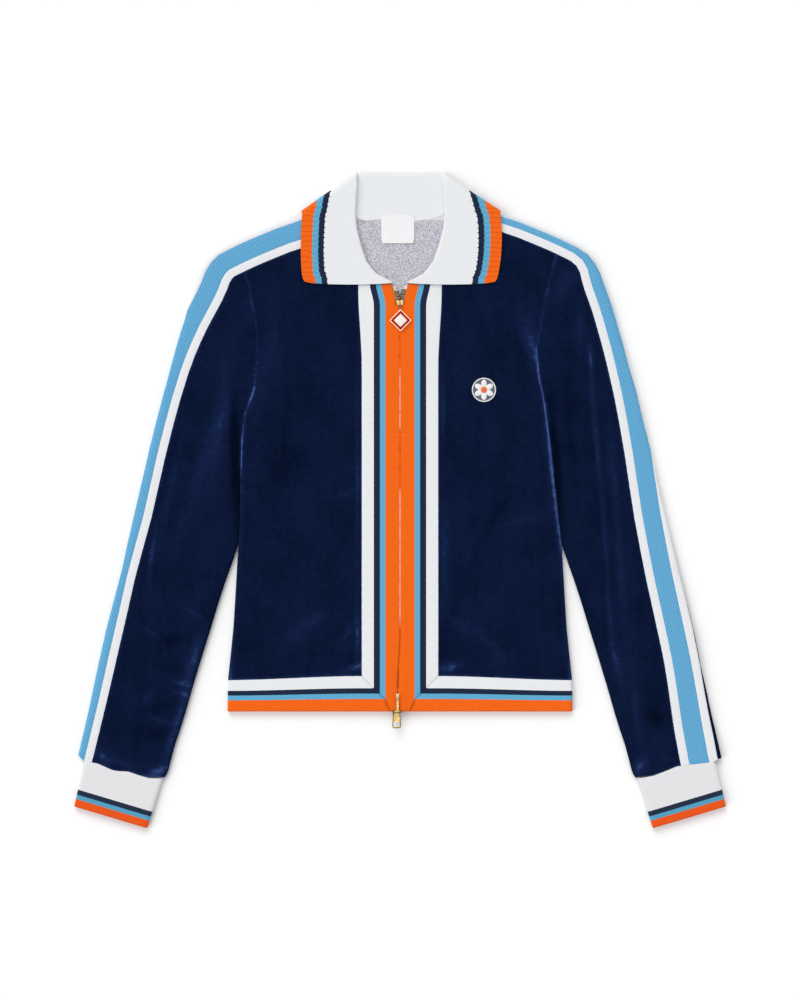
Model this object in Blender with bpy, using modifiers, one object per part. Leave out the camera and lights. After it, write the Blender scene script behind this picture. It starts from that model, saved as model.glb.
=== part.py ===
"""Track jacket, zipped and laid flat with its front up.

+Z is up, and the jacket lies on the plane z = 0. X runs across it, with the zip at
x = 0, and Y runs from the hem to the collar. Lengths in the tables are millimetres.
Points of one half are written as (x away from the zip, y), and a side of -1 or +1
places them on the left or the right of someone who looks down on the jacket.
"""

import math
from collections import namedtuple

import bmesh
import bpy
import numpy as np

MM = 0.001

# Cloth
VELOUR = 1.6  # thickness of the body and sleeve cloth
KNIT = 2.0  # thickness of collar, bands and cuffs
TWILL = 1.2  # thickness of the stripe's strips
SEAM = 0.3  # gap between two pieces that are sewn together
FOLD_RADIUS = 2.1  # middle of the cloth round a folded edge
CUFF_RADIUS = 2.2

# Lengths down the jacket, as y
HEM_BOTTOM = -236.0
HEM_SEAM_SIDE = -201.0
HEM_SEAM_FRONT = -196.6
BAND_TOP = 242.2
BAND_WIDTH = 42.6
BAND_SPREAD, SPREAD_OVER = 3.9, (150.0, 235.0)  # how far the bands stand apart at the neck, and over which y

# Stripe over shoulder and sleeve
WHITE_STRIP = 9.0
BLUE_STRIP = 20.0
NECK_SLANT, FRONT_SLANT, BACK_SLANT = 3.0, 0.9, 0.2  # how the stripe's end slants with the neck seam

# Collar, as heights of the middle of its wall
COLLAR_MIDDLE = 4.45
STAND_REACH = 1.15  # the stand lies this far below or above the middle
LEAF_REACH = 3.45  # and the leaf this far
LEAF_DROOP = 0.5  # how far the front leaf sinks towards its fall edge
NECK_RISE = 2.3  # the back lies this much higher where it covers the leaf
LEAF_HALF, LEAF_LOW = (113.0, 140.0), (238.0, 272.0)  # x and y over which that rise fades
FRONT_SETTLES = 0.9  # share of the rise that the front loses again, as it lies looser

Edge = namedtuple("Edge", "x y")
SHOULDER = [  # outer edge of the laid jacket, from the neck to the cuff
    Edge(64, 341), Edge(88, 330.5), Edge(112, 319.8), Edge(131, 313.2),
    Edge(151.5, 305), Edge(172.5, 296.2), Edge(191.5, 287.3), Edge(207.5, 278.5),
    Edge(216.2, 269.4), Edge(221.8, 260.4), Edge(228.5, 242.5), Edge(235.2, 224.6),
    Edge(245.3, 191), Edge(264.3, 123.8), Edge(281.1, 56.6), Edge(296.8, -10.6),
    Edge(312.5, -77.8), Edge(329.3, -145), Edge(345, -212.2), Edge(364.4, -294),
]  # fmt: skip

Armhole = namedtuple("Armhole", "y left right")
ARMHOLE = [  # x of the armhole seam below its corner at the stripe
    Armhole(246, 170.5, 167), Armhole(220, 165, 160.5), Armhole(191, 160.2, 156.5),
    Armhole(150, 160.2, 153.6), Armhole(132, 162.6, 158), Armhole(109, 170, 162.6),
    Armhole(90, 176, 165), Armhole(60, 178, 169), Armhole(27, 178.6, 173.5),
    Armhole(-12, 179.6, 178.4), Armhole(-50, 181.2, 181.4),
]  # fmt: skip
BODY_SIDE = [Edge(183, -80), Edge(184.8, -111), Edge(187.4, -150), Edge(190.6, -180), Edge(192.8, -201)]
SLEEVE_SIDE = [
    Edge(191, -77.8), Edge(202.2, -111.4), Edge(212.4, -145), Edge(222.9, -178.6),
    Edge(233, -212.2), Edge(242.6, -245.8), Edge(253.6, -279.4), Edge(261.6, -312),
]  # fmt: skip
MITRE = [  # seam between zip band and hem band, from the lower edge up to the velour's corner
    Edge(10.6, HEM_BOTTOM), Edge(12.3, -232), Edge(17.2, -221.6), Edge(23.5, -215.6), Edge(BAND_WIDTH, HEM_SEAM_FRONT),
]
FOLD_STARTS, FOLD_FULL = 70.0, 20.0  # y where the armhole seam turns into a folded edge

Roll = namedtuple("Roll", "y left right")
ROLL = [  # how far the front edge of the blue strip lies from the outer edge
    Roll(-290, 9.5, 36), Roll(-212, 10, 33), Roll(-145, 10, 31.2), Roll(-78, 8.5, 29.2),
    Roll(-11, 11, 26.5), Roll(57, 10.5, 21), Roll(124, 11.5, 16.5), Roll(157, 13, 15), Roll(191, 17, 14),
    Roll(225, 23.5, 14), Roll(251, 26, 13.5), Roll(269, 26, 10.5), Roll(288, 26.2, 8), Roll(345, 26.2, 8),
]  # fmt: skip

Slit = namedtuple("Slit", "y half_width")
SLIT = [  # half the gap between the two zip bands
    Slit(-236, 0.6), Slit(-229, 0.8), Slit(-225, 1.2), Slit(-212, 1.2), Slit(-205, 0.4), Slit(150, 0.4),
    Slit(205, 0.4), Slit(213, 0.9), Slit(217, 3.3), Slit(220, 3.9), Slit(226, 4.3), Slit(244, 8.8),
]  # fmt: skip

SLIT_ROWS = (205, 213, 217, 220, 226, 234)  # y of the rows that follow the opening slit
BAND_ROWS = 18  # rows below them
TAPE_SHOWS = 2.6  # width of tape beside the open slit
ZIP_LEAN, LEANS_OVER = -2.6, (-205, -150)  # x of the zip's foot, and the heights over which it gets there

CollarStation = namedtuple("CollarStation", "seam_x seam_y roll_x roll_y fall_x fall_y turn bow")
COLLAR = [  # from the middle of the back, round the neck, to the zip
    CollarStation(0, 320.9, 0, 365.3, 0, 283, -90, 0),
    CollarStation(20, 320.9, 20, 365.6, 28, 283, -90, 0),
    CollarStation(36, 321.4, 34, 366.2, 56, 287, -90, 0),
    CollarStation(51, 325, 43, 366.6, 84, 300, -90, 0),
    CollarStation(59, 331.5, 46.8, 365.8, 107, 321, -90, 0),
    CollarStation(59, 331.5, 46.8, 365.8, 107, 321, 0, 0),
    CollarStation(60, 329, 47.2, 363.4, 107.4, 319, 90, 0),
    CollarStation(62, 318, 48, 352, 108.4, 307, 90, 0),
    CollarStation(66, 301, 48.8, 336, 109.4, 292, 90, 0.2),
    CollarStation(67.5, 286, 49.6, 316, 109.8, 277, 90, 0.5),
    CollarStation(63, 271, 45.2, 293, 109.4, 264, 90, 1),
    CollarStation(53.5, 259.3, 37.2, 267.8, 108.8, 254.5, 90, 1.7),
    CollarStation(41, 251.4, 26.2, 254.2, 107.8, 248.4, 90, 2.4),
    CollarStation(25, 246.8, 12.4, 243.6, 106.2, 245, 90, 2.9),
]  # fmt: skip
LEAF_SHARES = (0.04, 0.12, 0.3, 0.5, 0.7, 0.9, 1.0)  # columns of points across the leaf
COLLAR_FOLD = np.array([0.602, 0.798])  # away from the jacket, across the collar's folded edge

Ridge = namedtuple("Ridge", "x y angle length width height")
RIDGES = [  # soft folds of the upper cloth, the same on both halves; angle in degrees from +X
    Ridge(214, -30, 160, 50, 13, 1.1), Ridge(236, -120, 158, 44, 10, 0.9),
    Ridge(276, -222, 162, 42, 9, 1.0), Ridge(108, 10, 98, 120, 26, 0.9),
    Ridge(206, 165, 108, 60, 14, 1.0),
]  # fmt: skip

SLEEVE_TUCK, SLEEVE_PUFF = 10.0, 5.0  # the sleeve's outer corner stops short of the cuff by more than the rest
CUFF = {"outer_top": (353.5, -291.6), "inner_top": (266, -312.4), "outer_end": (365, -342.2), "inner_end": (283, -366.7)}

# Zip
TAPE_TOP, TAPE_THICKNESS, TAPE_REACH = 2.8, 0.5, 12.0
PLATE_BOTTOM, PLATE_TOP = 3.1, 3.9
PULL_AXIS_Z = 7.7
TOP_BRIDGE_Y, BOTTOM_BRIDGE_Y = 220.0, -219.5
RING_RADIUS, RING_WIRE = 1.75, 0.5
BRIDGE_HALF_WIDTH = 0.7
Slider = namedtuple("Slider", "name x bridge_y low high half_width eye_half crown")
SLIDERS = [  # y of bridge and of the plate's ends; crown is the raised body's half width
    Slider("top_slider", 0, TOP_BRIDGE_Y, 215.5, 224.5, 5.2, 1.5, 3.1),
    Slider("bottom_slider", ZIP_LEAN, BOTTOM_BRIDGE_Y, -237.2, -213.5, 5.3, 2.6, 0),
]
CROWN = {"y": (218.0, 224.5), "top": 6.2}
BRIDGE_WIRE = 0.9  # thickness of the bridge's two feet
BRIDGE_RISE = 2.0  # its top above the pull's axis
EYE_BELOW, EYE_ABOVE = 1.1, 1.15  # its eye, below and above the pull's axis
DIAMOND = {"x": 0.6, "y": 201.5, "half": 12.4, "thickness": 2.0, "rounding": 0.4}
TAB = {"x": (-8.7, 1.1), "y": (-254.6, -229.0), "half_thickness": 0.8, "top_share": 0.78}
TAB_WINDOW = {"x": (-7.4, -0.3), "y": (-253.0, -247.8)}

# Label and badge
LABEL = {"x": (-21.0, 15.8), "y": (288.0, 319.6), "thickness": 0.6}
BADGE = {"x": 93.9, "y": 123.8, "radius": 13.5, "thickness": 1.0}


# Curves, heights and folds ------------------------------------------------------


def steady_slopes(keys, values):
    """Slopes at a table's rows that keep the curve between two rows within their values."""
    rates = np.diff(values) / np.diff(keys)
    before, after = rates[:-1], rates[1:]
    total = np.where(before + after == 0, 1, before + after)
    middle = np.where(before * after > 0, 2 * before * after / total, 0)
    return np.concatenate([rates[:1], middle, rates[-1:]])


def smooth(at, keys, values, steady=False):
    """Values at some keys, read from a smooth curve through a table's rows."""
    keys, values, at = np.asarray(keys, float), np.asarray(values, float), np.asarray(at, float)
    slopes = steady_slopes(keys, values) if steady else np.gradient(values, keys, axis=0)
    at = np.clip(at, keys[0], keys[-1])
    i = np.clip(np.searchsorted(keys, at) - 1, 0, len(keys) - 2)
    step = keys[i + 1] - keys[i]
    t = (at - keys[i]) / step
    if values.ndim > 1:
        step, t = step[..., None], t[..., None]
    return (
        (1 + 2 * t) * (1 - t) ** 2 * values[i]
        + t * (1 - t) ** 2 * step * slopes[i]
        + t**2 * (3 - 2 * t) * values[i + 1]
        + t**2 * (t - 1) * step * slopes[i + 1]
    )


def ease(low, high, value):
    """0 below low, 1 above high and a smooth step between them."""
    t = np.clip((value - low) / (high - low), 0, 1)
    return t * t * (3 - 2 * t)


def unit(vector):
    return vector / np.linalg.norm(vector, axis=-1, keepdims=True)


class Path:
    """A smooth plane curve through points, measured along its length."""

    def __init__(self, points):
        self.points = np.array([tuple(p)[:2] for p in points], float)
        steps = np.linalg.norm(np.diff(self.points, axis=0), axis=1)
        self.marks = np.concatenate([[0], np.cumsum(steps)])
        self.length = self.marks[-1]

    def point(self, at):
        return smooth(at, self.marks, self.points)

    def normal(self, at):
        """To the right of the way along the curve."""
        at = np.asarray(at, float)
        ahead = self.point(np.minimum(at + 2, self.length)) - self.point(np.maximum(at - 2, 0))
        ahead = unit(ahead)
        return np.stack([ahead[..., 1], -ahead[..., 0]], axis=-1)


def neck_rise(xy):
    """How much higher the back lies where the collar's leaf is under it."""
    across = 1 - ease(*LEAF_HALF, np.abs(xy[..., 0]))
    return NECK_RISE * across * ease(*LEAF_LOW, xy[..., 1])


def swell(xy):
    """Height of the soft folds in the upper cloth."""
    height = np.zeros(xy.shape[:-1])
    for ridge in RIDGES:
        angle = math.radians(ridge.angle)
        dx, dy = xy[..., 0] - ridge.x, xy[..., 1] - ridge.y
        along = dx * math.cos(angle) + dy * math.sin(angle)
        across = dy * math.cos(angle) - dx * math.sin(angle)
        height += ridge.height * np.exp(-((along / ridge.length) ** 2) - (across / ridge.width) ** 2)
    return height


def back_height(xy):
    """Middle of the lower cloth."""
    return VELOUR / 2 + neck_rise(xy)


def front_height(xy):
    """Middle of the upper cloth."""
    return back_height(xy) + 2 * FOLD_RADIUS - FRONT_SETTLES * neck_rise(xy) + swell(xy)


def with_height(xy, height):
    return np.concatenate([xy, height[..., None]], axis=-1)


def level(xy, face):
    """Points and outward normals of cloth that lies flat; face is +1 on top and -1 below."""
    points = with_height(xy, front_height(xy) if face > 0 else back_height(xy))
    normals = np.zeros_like(points)
    normals[..., 2] = face
    return points, normals


def folded(edge, inward, reach):
    """Points and normals round a folded edge; reach is the way along the cloth from
    the edge, positive on top and negative below. All arguments are in plane (x, y)."""
    top, low = front_height(edge), back_height(edge)
    radius, middle = (top - low) / 2, (top + low) / 2
    turn = np.clip(reach / radius, -math.pi / 2, math.pi / 2)
    spare = np.maximum(np.abs(reach) - radius * math.pi / 2, 0)
    in_plane = (radius + VELOUR / 2 - radius * np.cos(turn) + spare)[..., None] * inward
    xy = edge + in_plane
    flat = np.where(reach > 0, front_height(xy), back_height(xy))
    height = np.where(spare > 0, flat, middle + radius * np.sin(turn))
    normals = with_height(-inward * np.cos(turn)[..., None], np.sin(turn))
    return with_height(xy, height), normals


# Solids -------------------------------------------------------------------------


def material(name, colour, roughness, metallic=0.0):
    made = bpy.data.materials.new(name)
    made.use_nodes = True
    shader = made.node_tree.nodes["Principled BSDF"]
    shader.inputs["Base Color"].default_value = (*colour, 1)
    shader.inputs["Roughness"].default_value = roughness
    shader.inputs["Metallic"].default_value = metallic
    return made


def add_object(name, mesh, finish):
    made = bpy.data.objects.new(name, mesh)
    mesh.materials.append(finish)
    mesh.shade_smooth()
    mesh.set_sharp_from_angle(angle=math.radians(40))
    bpy.data.collections["track_jacket"].objects.link(made)
    return made


def cloth_wall(name, side, points, normals, thickness, finish, ring=False):
    """A closed wall of one thickness round a grid of points on its middle surface."""
    flip = np.array([side, 1, 1])
    outer = (points + normals * thickness / 2) * flip * MM
    inner = (points - normals * thickness / 2) * flip * MM
    rows, columns = points.shape[:2]
    mesh = bpy.data.meshes.new(name)
    shape = bmesh.new()
    skins = [[[shape.verts.new(p) for p in row] for row in skin] for skin in (outer, inner)]
    last = columns if ring else columns - 1
    for skin in skins:
        for i in range(rows - 1):
            for j in range(last):
                k = (j + 1) % columns
                shape.faces.new((skin[i][j], skin[i][k], skin[i + 1][k], skin[i + 1][j]))
    rims = [[(i, j) for j in range(columns)] for i in (0, rows - 1)]
    if ring:
        rims = [rim + rim[:1] for rim in rims]
    else:
        rims += [[(i, j) for i in range(rows)] for j in (0, columns - 1)]
    for rim in rims:
        for (i, j), (k, m) in zip(rim, rim[1:]):
            shape.faces.new((skins[0][i][j], skins[0][k][m], skins[1][k][m], skins[1][i][j]))
    bmesh.ops.recalc_face_normals(shape, faces=shape.faces)
    if shape.calc_volume(signed=True) < 0:
        bmesh.ops.reverse_faces(shape, faces=shape.faces)
    bmesh.ops.triangulate(shape, faces=shape.faces, quad_method="SHORT_EDGE")
    shape.to_mesh(mesh)
    shape.free()
    return add_object(name, mesh, finish)


def side_name(side):
    return "left" if side < 0 else "right"


def column(rows, name, side):
    """The left or right column of a table, or a shared one."""
    return [getattr(row, name if name else side_name(side)) for row in rows]


# Outlines -----------------------------------------------------------------------

OUTER = Path(SHOULDER)
CORNER_AT = {-1: 137.0, 1: 128.0}  # where the armhole seam meets the stripe, along OUTER
SHOULDER_ROWS, SLEEVE_ROWS = 8, 25
RIM_COLUMNS = 4  # columns round a folded edge
CROWDED, CROWD_AT = 2.0, 70.0  # more rows where the stripe turns over the outer edge
ARM_ROWS, SIDE_ROWS = 11, 5  # rows beside the armhole seam and beside the body's edge
ARM_FIRST = 15.0  # way along the armhole seam of its first shared row
EDGE_SHARE = 0.06  # the last column stops this share of a quarter turn before the edge's middle


def outer_stations(side):
    """Ways along OUTER of the rows that all pieces beside the stripe share."""
    corner, end = CORNER_AT[side], OUTER.length - SLEEVE_TUCK
    fine = np.linspace(corner, end, 200)
    crowd = np.cumsum(1 + CROWDED * np.exp(-(((fine - corner - CROWD_AT) / CROWD_AT) ** 2)))
    sleeve = np.interp(np.linspace(crowd[0], crowd[-1], SLEEVE_ROWS), crowd, fine)
    return np.linspace(0, corner, SHOULDER_ROWS), sleeve


def roll(side, y):
    """Way along the cloth from the outer edge to the front of the blue strip."""
    return smooth(y, column(ROLL, "y", side), column(ROLL, None, side), steady=True)


def row_at(side, station, reach):
    """Way along OUTER of a row at a way across the stripe: its first rows slant with
    the neck seam, and its last ones reach further down than the outer edge does."""
    corner, end = CORNER_AT[side], OUTER.length - SLEEVE_TUCK
    slant = NECK_SLANT + FRONT_SLANT * np.maximum(reach, 0) + BACK_SLANT * np.maximum(-reach, 0)
    puff = SLEEVE_PUFF * ease(0, 10, np.abs(reach))
    late = np.maximum(station - corner, 0) / (end - corner)
    return station + slant * np.maximum(1 - station / corner, 0) + puff * late**4


def stripe_points(side, along, reach):
    """Points and normals of the stripe's cloth, at a way along and across it."""
    return folded(OUTER.point(along), OUTER.normal(along), reach)


def seam_reach(side, face, y, apart):
    """Way across the stripe to its front or back seam, and a gap beyond it."""
    blue = roll(side, y)
    if face > 0:
        return blue + WHITE_STRIP + SEAM + apart
    return blue - BLUE_STRIP - WHITE_STRIP - SEAM - apart


def stripe_seam(side, face, stations, apart=SEAM):
    """Points and normals along the stripe's front or back seam, a gap away from it."""
    guess = seam_reach(side, face, OUTER.point(stations)[:, 1], apart)
    along = row_at(side, stations, guess)
    reach = seam_reach(side, face, OUTER.point(along)[:, 1], apart)
    return along, reach


def seam_points(side, face, stations, apart=SEAM):
    along, reach = stripe_seam(side, face, stations, apart)
    return stripe_points(side, along, reach)[0][:, :2]


def arm_path(side, face, tail):
    """The armhole seam from its corner at the stripe, and the folded edge below it."""
    corner = seam_points(side, face, np.array([CORNER_AT[side]]))[0]
    seam = [Edge(x, y) for x, y in zip(column(ARMHOLE, None, side), column(ARMHOLE, "y", side))]
    return Path([Edge(corner[0], corner[1])] + seam + tail)


def arm_stations(path, below):
    """Ways along the armhole seam of the rows that both sides share, and more below it."""
    underarm = path.marks[len(ARMHOLE)]
    return np.concatenate([np.linspace(ARM_FIRST, underarm, ARM_ROWS), np.linspace(underarm, path.length, below + 1)[1:]])


def turned_edge(path, at, face, away, count):
    """Columns that end a panel at an armhole seam, which lower down is a folded edge.

    away is +1 where the panel lies to the left of the path and -1 to its right. The
    columns run towards the edge."""
    gap = SEAM / 2 + SEAM / 2 * ease(-FOLD_STARTS, -FOLD_FULL, -path.point(at)[:, 1])
    outward = path.normal(at) * away
    edge = path.point(at) - outward * gap[:, None]
    fold = 1 - ease(FOLD_FULL, FOLD_STARTS, edge[:, 1])
    radius = (front_height(edge) - back_height(edge)) / 2
    quarter = radius * math.pi / 2
    points, normals = [], []
    for share in np.linspace(1, EDGE_SHARE, count):
        bent, bent_normal = folded(edge, -outward, face * quarter * share)
        flat, flat_normal = level(edge - outward * (radius + VELOUR / 2)[:, None] * share, face)
        mix = fold[:, None]
        points.append(flat * (1 - mix) + bent * mix)
        normals.append(unit(flat_normal * (1 - mix) + bent_normal * mix))
    return np.stack(points, axis=1), np.stack(normals, axis=1)


def coons(bottom, top, left, right):
    """A plane grid that fills the space between four edges."""
    v = np.linspace(0, 1, len(left))[:, None, None]
    u = np.linspace(0, 1, len(bottom))[None, :, None]
    corners = (1 - u) * (1 - v) * bottom[0] + u * (1 - v) * bottom[-1]
    corners = corners + (1 - u) * v * top[0] + u * v * top[-1]
    return (1 - v) * bottom[None] + v * top[None] + (1 - u) * left[:, None] + u * right[:, None] - corners


def joined(*parts):
    """Grids side by side, as (points, normals)."""
    return tuple(np.concatenate([part[k] for part in parts], axis=1) for k in (0, 1))


# Body ---------------------------------------------------------------------------


def hem_seam(x):
    """y of the seam above the hem band, at an x away from the zip."""
    return HEM_SEAM_FRONT + (HEM_SEAM_SIDE - HEM_SEAM_FRONT) * ease(BAND_WIDTH, 193, x)


def collar_table(name):
    return np.array([getattr(row, name) for row in COLLAR], float)


def band_edge(y, share):
    """x across the zip band, 0 at the slit and 1 at the seam to the velour."""
    slit = smooth(y, column(SLIT, "y", 1), column(SLIT, "half_width", 1), steady=True)
    seam = BAND_WIDTH + BAND_SPREAD * ease(*SPREAD_OVER, y)
    return slit + (seam - slit) * share


def zip_lean(y):
    """x by which the zip's line lies beside x = 0."""
    return ZIP_LEAN * (1 - ease(*LEANS_OVER, y))


def panel_rows(side, face):
    """Stations of a body panel's rows along its arm and side edge, from the hem up."""
    arm = arm_path(side, face, BODY_SIDE)
    stations = np.concatenate([[1.0], arm_stations(arm, SIDE_ROWS)])[::-1]
    points, normals = turned_edge(arm, stations, face, -1, RIM_COLUMNS)
    back_off = np.linspace(FOLD_RADIUS + VELOUR / 2, SEAM / 2, RIM_COLUMNS)
    points[-1] = level(seam_points(side, face, CORNER_AT[side] - back_off), face)[0]
    return points, normals


def neck_and_shoulder(side, face, neck):
    """Upper edge of a body panel: the neck's points and then the stripe's seam."""
    shoulder = seam_points(side, face, outer_stations(side)[0])
    apart = [p for p in neck if math.dist(p, shoulder[0]) > 8]
    return np.array(apart + list(shoulder))


def front_panel(side):
    rim = panel_rows(side, 1)
    right = rim[0][:, 0, :2]
    rows = len(right)
    left_y = np.linspace(HEM_SEAM_FRONT + 0.4, BAND_TOP + 1.5, rows)
    left = np.stack([band_edge(left_y, 1) + SEAM, left_y], axis=1)
    top = neck_and_shoulder(side, 1, [left[-1], (57, 258), (65, 268.5), (69.5, 282), (72, 299)])
    top[-1] = right[-1]
    bottom_x = np.linspace(left[0, 0], right[0, 0], len(top))
    bottom = np.stack([bottom_x, hem_seam(bottom_x) + SEAM / 2], axis=1)
    bottom[-1] = right[0]
    plane = coons(bottom, top, left, right)
    points, normals = joined(level(plane[:, :-1], 1), rim)
    cloth_wall(f"front_{side_name(side)}", side, points, normals, VELOUR, MATERIALS["navy_velour"])


def back_panel():
    halves = []
    for side in (-1, 1):
        rim = panel_rows(side, -1)
        right = rim[0][:, 0, :2]
        top = neck_and_shoulder(side, -1, [(0, 320.4), (18, 320.4), (35, 320.7), (49, 323.2)])
        top[-1] = right[-1]
        bottom_x = np.linspace(0, right[0, 0], len(top))
        bottom = np.stack([bottom_x, np.full(len(top), HEM_SEAM_SIDE + SEAM / 2)], axis=1)
        bottom[-1] = right[0]
        rise = (right[:, 1] - right[0, 1]) / (right[-1, 1] - right[0, 1])
        middle = np.stack([np.zeros(len(rise)), bottom[0, 1] + (top[0, 1] - bottom[0, 1]) * rise], axis=1)
        half = joined(level(coons(bottom, top, middle, right)[:, :-1], -1), rim)
        flip = np.array([side, 1, 1])
        halves.append((half[0] * flip, half[1] * flip))
    (left, left_normals), (right, right_normals) = halves
    points = np.concatenate([left[:, :0:-1], right], axis=1)
    normals = np.concatenate([left_normals[:, :0:-1], right_normals], axis=1)
    cloth_wall("back", 1, points, normals, VELOUR, MATERIALS["navy_velour"])


# Sleeves ------------------------------------------------------------------------


def resampled(points, normals, shares):
    """A row's points and normals again, at shares of its length."""
    marks = np.concatenate([[0], np.cumsum(np.linalg.norm(np.diff(points, axis=0), axis=1))])
    wanted = np.asarray(shares) * marks[-1]
    read = [np.stack([np.interp(wanted, marks, row[:, k]) for k in range(3)], axis=1) for row in (points, normals)]
    return read[0], unit(read[1])


def sleeve_panel(side, face):
    """Upper or lower half of a sleeve, from the stripe's seam to the folded inner edge."""
    arm = arm_path(side, face, SLEEVE_SIDE)
    stations = outer_stations(side)[1]
    inner_at = arm_stations(arm, SLEEVE_ROWS - ARM_ROWS)
    rim = turned_edge(arm, inner_at, face, 1, RIM_COLUMNS)
    along, first = stripe_seam(side, face, stations)
    shares = [0, 0.04, 0.08, 0.12, 0.25, 0.45, 0.65, 0.83] if face < 0 else np.linspace(0, 0.87, 7)
    points, normals = [], []
    for i in range(SLEEVE_ROWS):
        flat_at = min(first[i], -FOLD_RADIUS * math.pi / 2 - 0.5) if face < 0 else first[i]
        bend, bend_tilt = stripe_points(side, np.full(24, along[i]), np.linspace(first[i], flat_at, 24))
        way = np.linspace(0, 1, 60)[1:, None]
        flat, flat_tilt = level(bend[-1, :2] + (rim[0][i, 0, :2] - bend[-1, :2]) * way, face)
        row = resampled(np.concatenate([bend, flat]), np.concatenate([bend_tilt, flat_tilt]), shares)
        points.append(row[0])
        normals.append(row[1])
    grid = joined((np.array(points), np.array(normals)), rim)
    first_row = np.linspace(0.3, inner_at[0], grid[0].shape[1])
    seam = arm.point(first_row) + arm.normal(first_row) * -SEAM / 2
    grid[0][0] = level(seam, face)[0]
    name = f"sleeve_{'front' if face > 0 else 'back'}_{side_name(side)}"
    cloth_wall(name, side, *grid, VELOUR, MATERIALS["navy_velour"])


def stripe(side):
    """Three strips side by side, from the neck over the shoulder to the cuff."""
    strips = [
        ("strap_front_white", SEAM, WHITE_STRIP, 1, "white_twill"),
        ("strap_blue", -BLUE_STRIP, BLUE_STRIP, 6, "blue_twill"),
        ("strap_back_white", -BLUE_STRIP - SEAM - WHITE_STRIP, WHITE_STRIP, 5, "white_twill"),
    ]
    upper, lower = outer_stations(side)
    stations = np.concatenate([upper, lower[1:]])[:, None]
    for name, offset, width, columns, finish in strips:
        across = offset + width * np.linspace(0, 1, columns + 1)[None, :]
        guess = roll(side, OUTER.point(stations)[..., 1]) + across
        along = row_at(side, stations, guess)
        reach = roll(side, OUTER.point(along)[..., 1]) + across
        points, normals = stripe_points(side, along, reach)
        cloth_wall(f"{name}_{side_name(side)}", side, points, normals, TWILL, MATERIALS[finish])


def cuff(side, rows=4):
    """A flattened tube of rib below the sleeve."""
    corner = {name: np.array(xy, float) for name, xy in CUFF.items()}
    arc = np.linspace(-math.pi / 2, math.pi / 2, 6)
    rings, tilts = [], []
    for share in np.linspace(0, 1, rows):
        outer = corner["outer_top"] + (corner["outer_end"] - corner["outer_top"]) * share
        inner = corner["inner_top"] + (corner["inner_end"] - corner["inner_top"]) * share
        across = unit(outer - inner)
        reach = CUFF_RADIUS + KNIT / 2
        ends = [(outer - across * reach, across, 1), (inner + across * reach, -across, -1)]
        ring, tilt = [], []
        for centre, away, way in ends:
            for turn in arc * way:
                out = away * math.cos(turn)
                height = KNIT / 2 + CUFF_RADIUS + CUFF_RADIUS * math.sin(turn)
                ring.append((*(centre + CUFF_RADIUS * out), height))
                tilt.append((*out, math.sin(turn)))
            start, other = ends[0][0], ends[1][0]
            for step in (0.25, 0.5, 0.75):
                xy = start + (other - start) * (step if way > 0 else 1 - step)
                height = KNIT / 2 + CUFF_RADIUS * (1 + way)
                ring.append((*xy, height))
                tilt.append((0, 0, way))
        rings.append(ring)
        tilts.append(tilt)
    name = f"cuff_{side_name(side)}"
    cloth_wall(name, side, np.array(rings), np.array(tilts), KNIT, MATERIALS["white_rib"], ring=True)


# Bands --------------------------------------------------------------------------

BAND_LIFT = (KNIT - VELOUR) / 2  # so that the underside of rib and velour are level


def zip_rows():
    """Shares of the way up the zip, closer together where its slit opens."""
    opening = [(y - HEM_BOTTOM) / (BAND_TOP - HEM_BOTTOM) for y in SLIT_ROWS]
    return np.concatenate([np.linspace(0, opening[0], BAND_ROWS)[:-1], opening, [1]])


def placket(side):
    """Zip band beside the zip, mitred where it meets the hem band."""
    foot_x = band_edge(HEM_BOTTOM, 0)
    low = np.array([HEM_BOTTOM] + [corner.y for corner in MITRE])
    share = np.array([0] + [(corner.x - foot_x) / (BAND_WIDTH - foot_x) for corner in MITRE])
    y = low + (BAND_TOP - low) * zip_rows()[:, None]
    x = band_edge(y, share)
    x[:, 0] += side * zip_lean(y[:, 0])
    points, normals = level(np.stack([x, y], axis=-1), 1)
    points[..., 2] += BAND_LIFT
    name = f"placket_{side_name(side)}"
    cloth_wall(name, side, points, normals, KNIT, MATERIALS["white_rib"])


def hem_front(side, columns=10):
    edge = Path([(193.2, HEM_BOTTOM), (192.8, HEM_SEAM_SIDE - SEAM)])
    steps = [(corner.y - HEM_BOTTOM) / (HEM_SEAM_FRONT - HEM_BOTTOM) for corner in MITRE]
    rim_points, rim_normals = turned_edge(edge, edge.length * np.array(steps), 1, 1, RIM_COLUMNS)
    grid = []
    for i, (step, corner) in enumerate(zip(steps, MITRE)):
        start = corner.x + 2 * SEAM
        x = start + (rim_points[i, 0, 0] - start) * np.linspace(0, 1, columns)
        y = HEM_BOTTOM + (hem_seam(x) - SEAM / 2 - HEM_BOTTOM) * step
        grid.append(np.stack([x, y], axis=1))
    flat = level(np.array(grid)[:, :-1], 1)
    points, normals = joined(flat, (rim_points, rim_normals))
    points[..., 2] += BAND_LIFT
    name = f"hem_front_{side_name(side)}"
    cloth_wall(name, side, points, normals, KNIT, MATERIALS["white_rib"])


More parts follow.
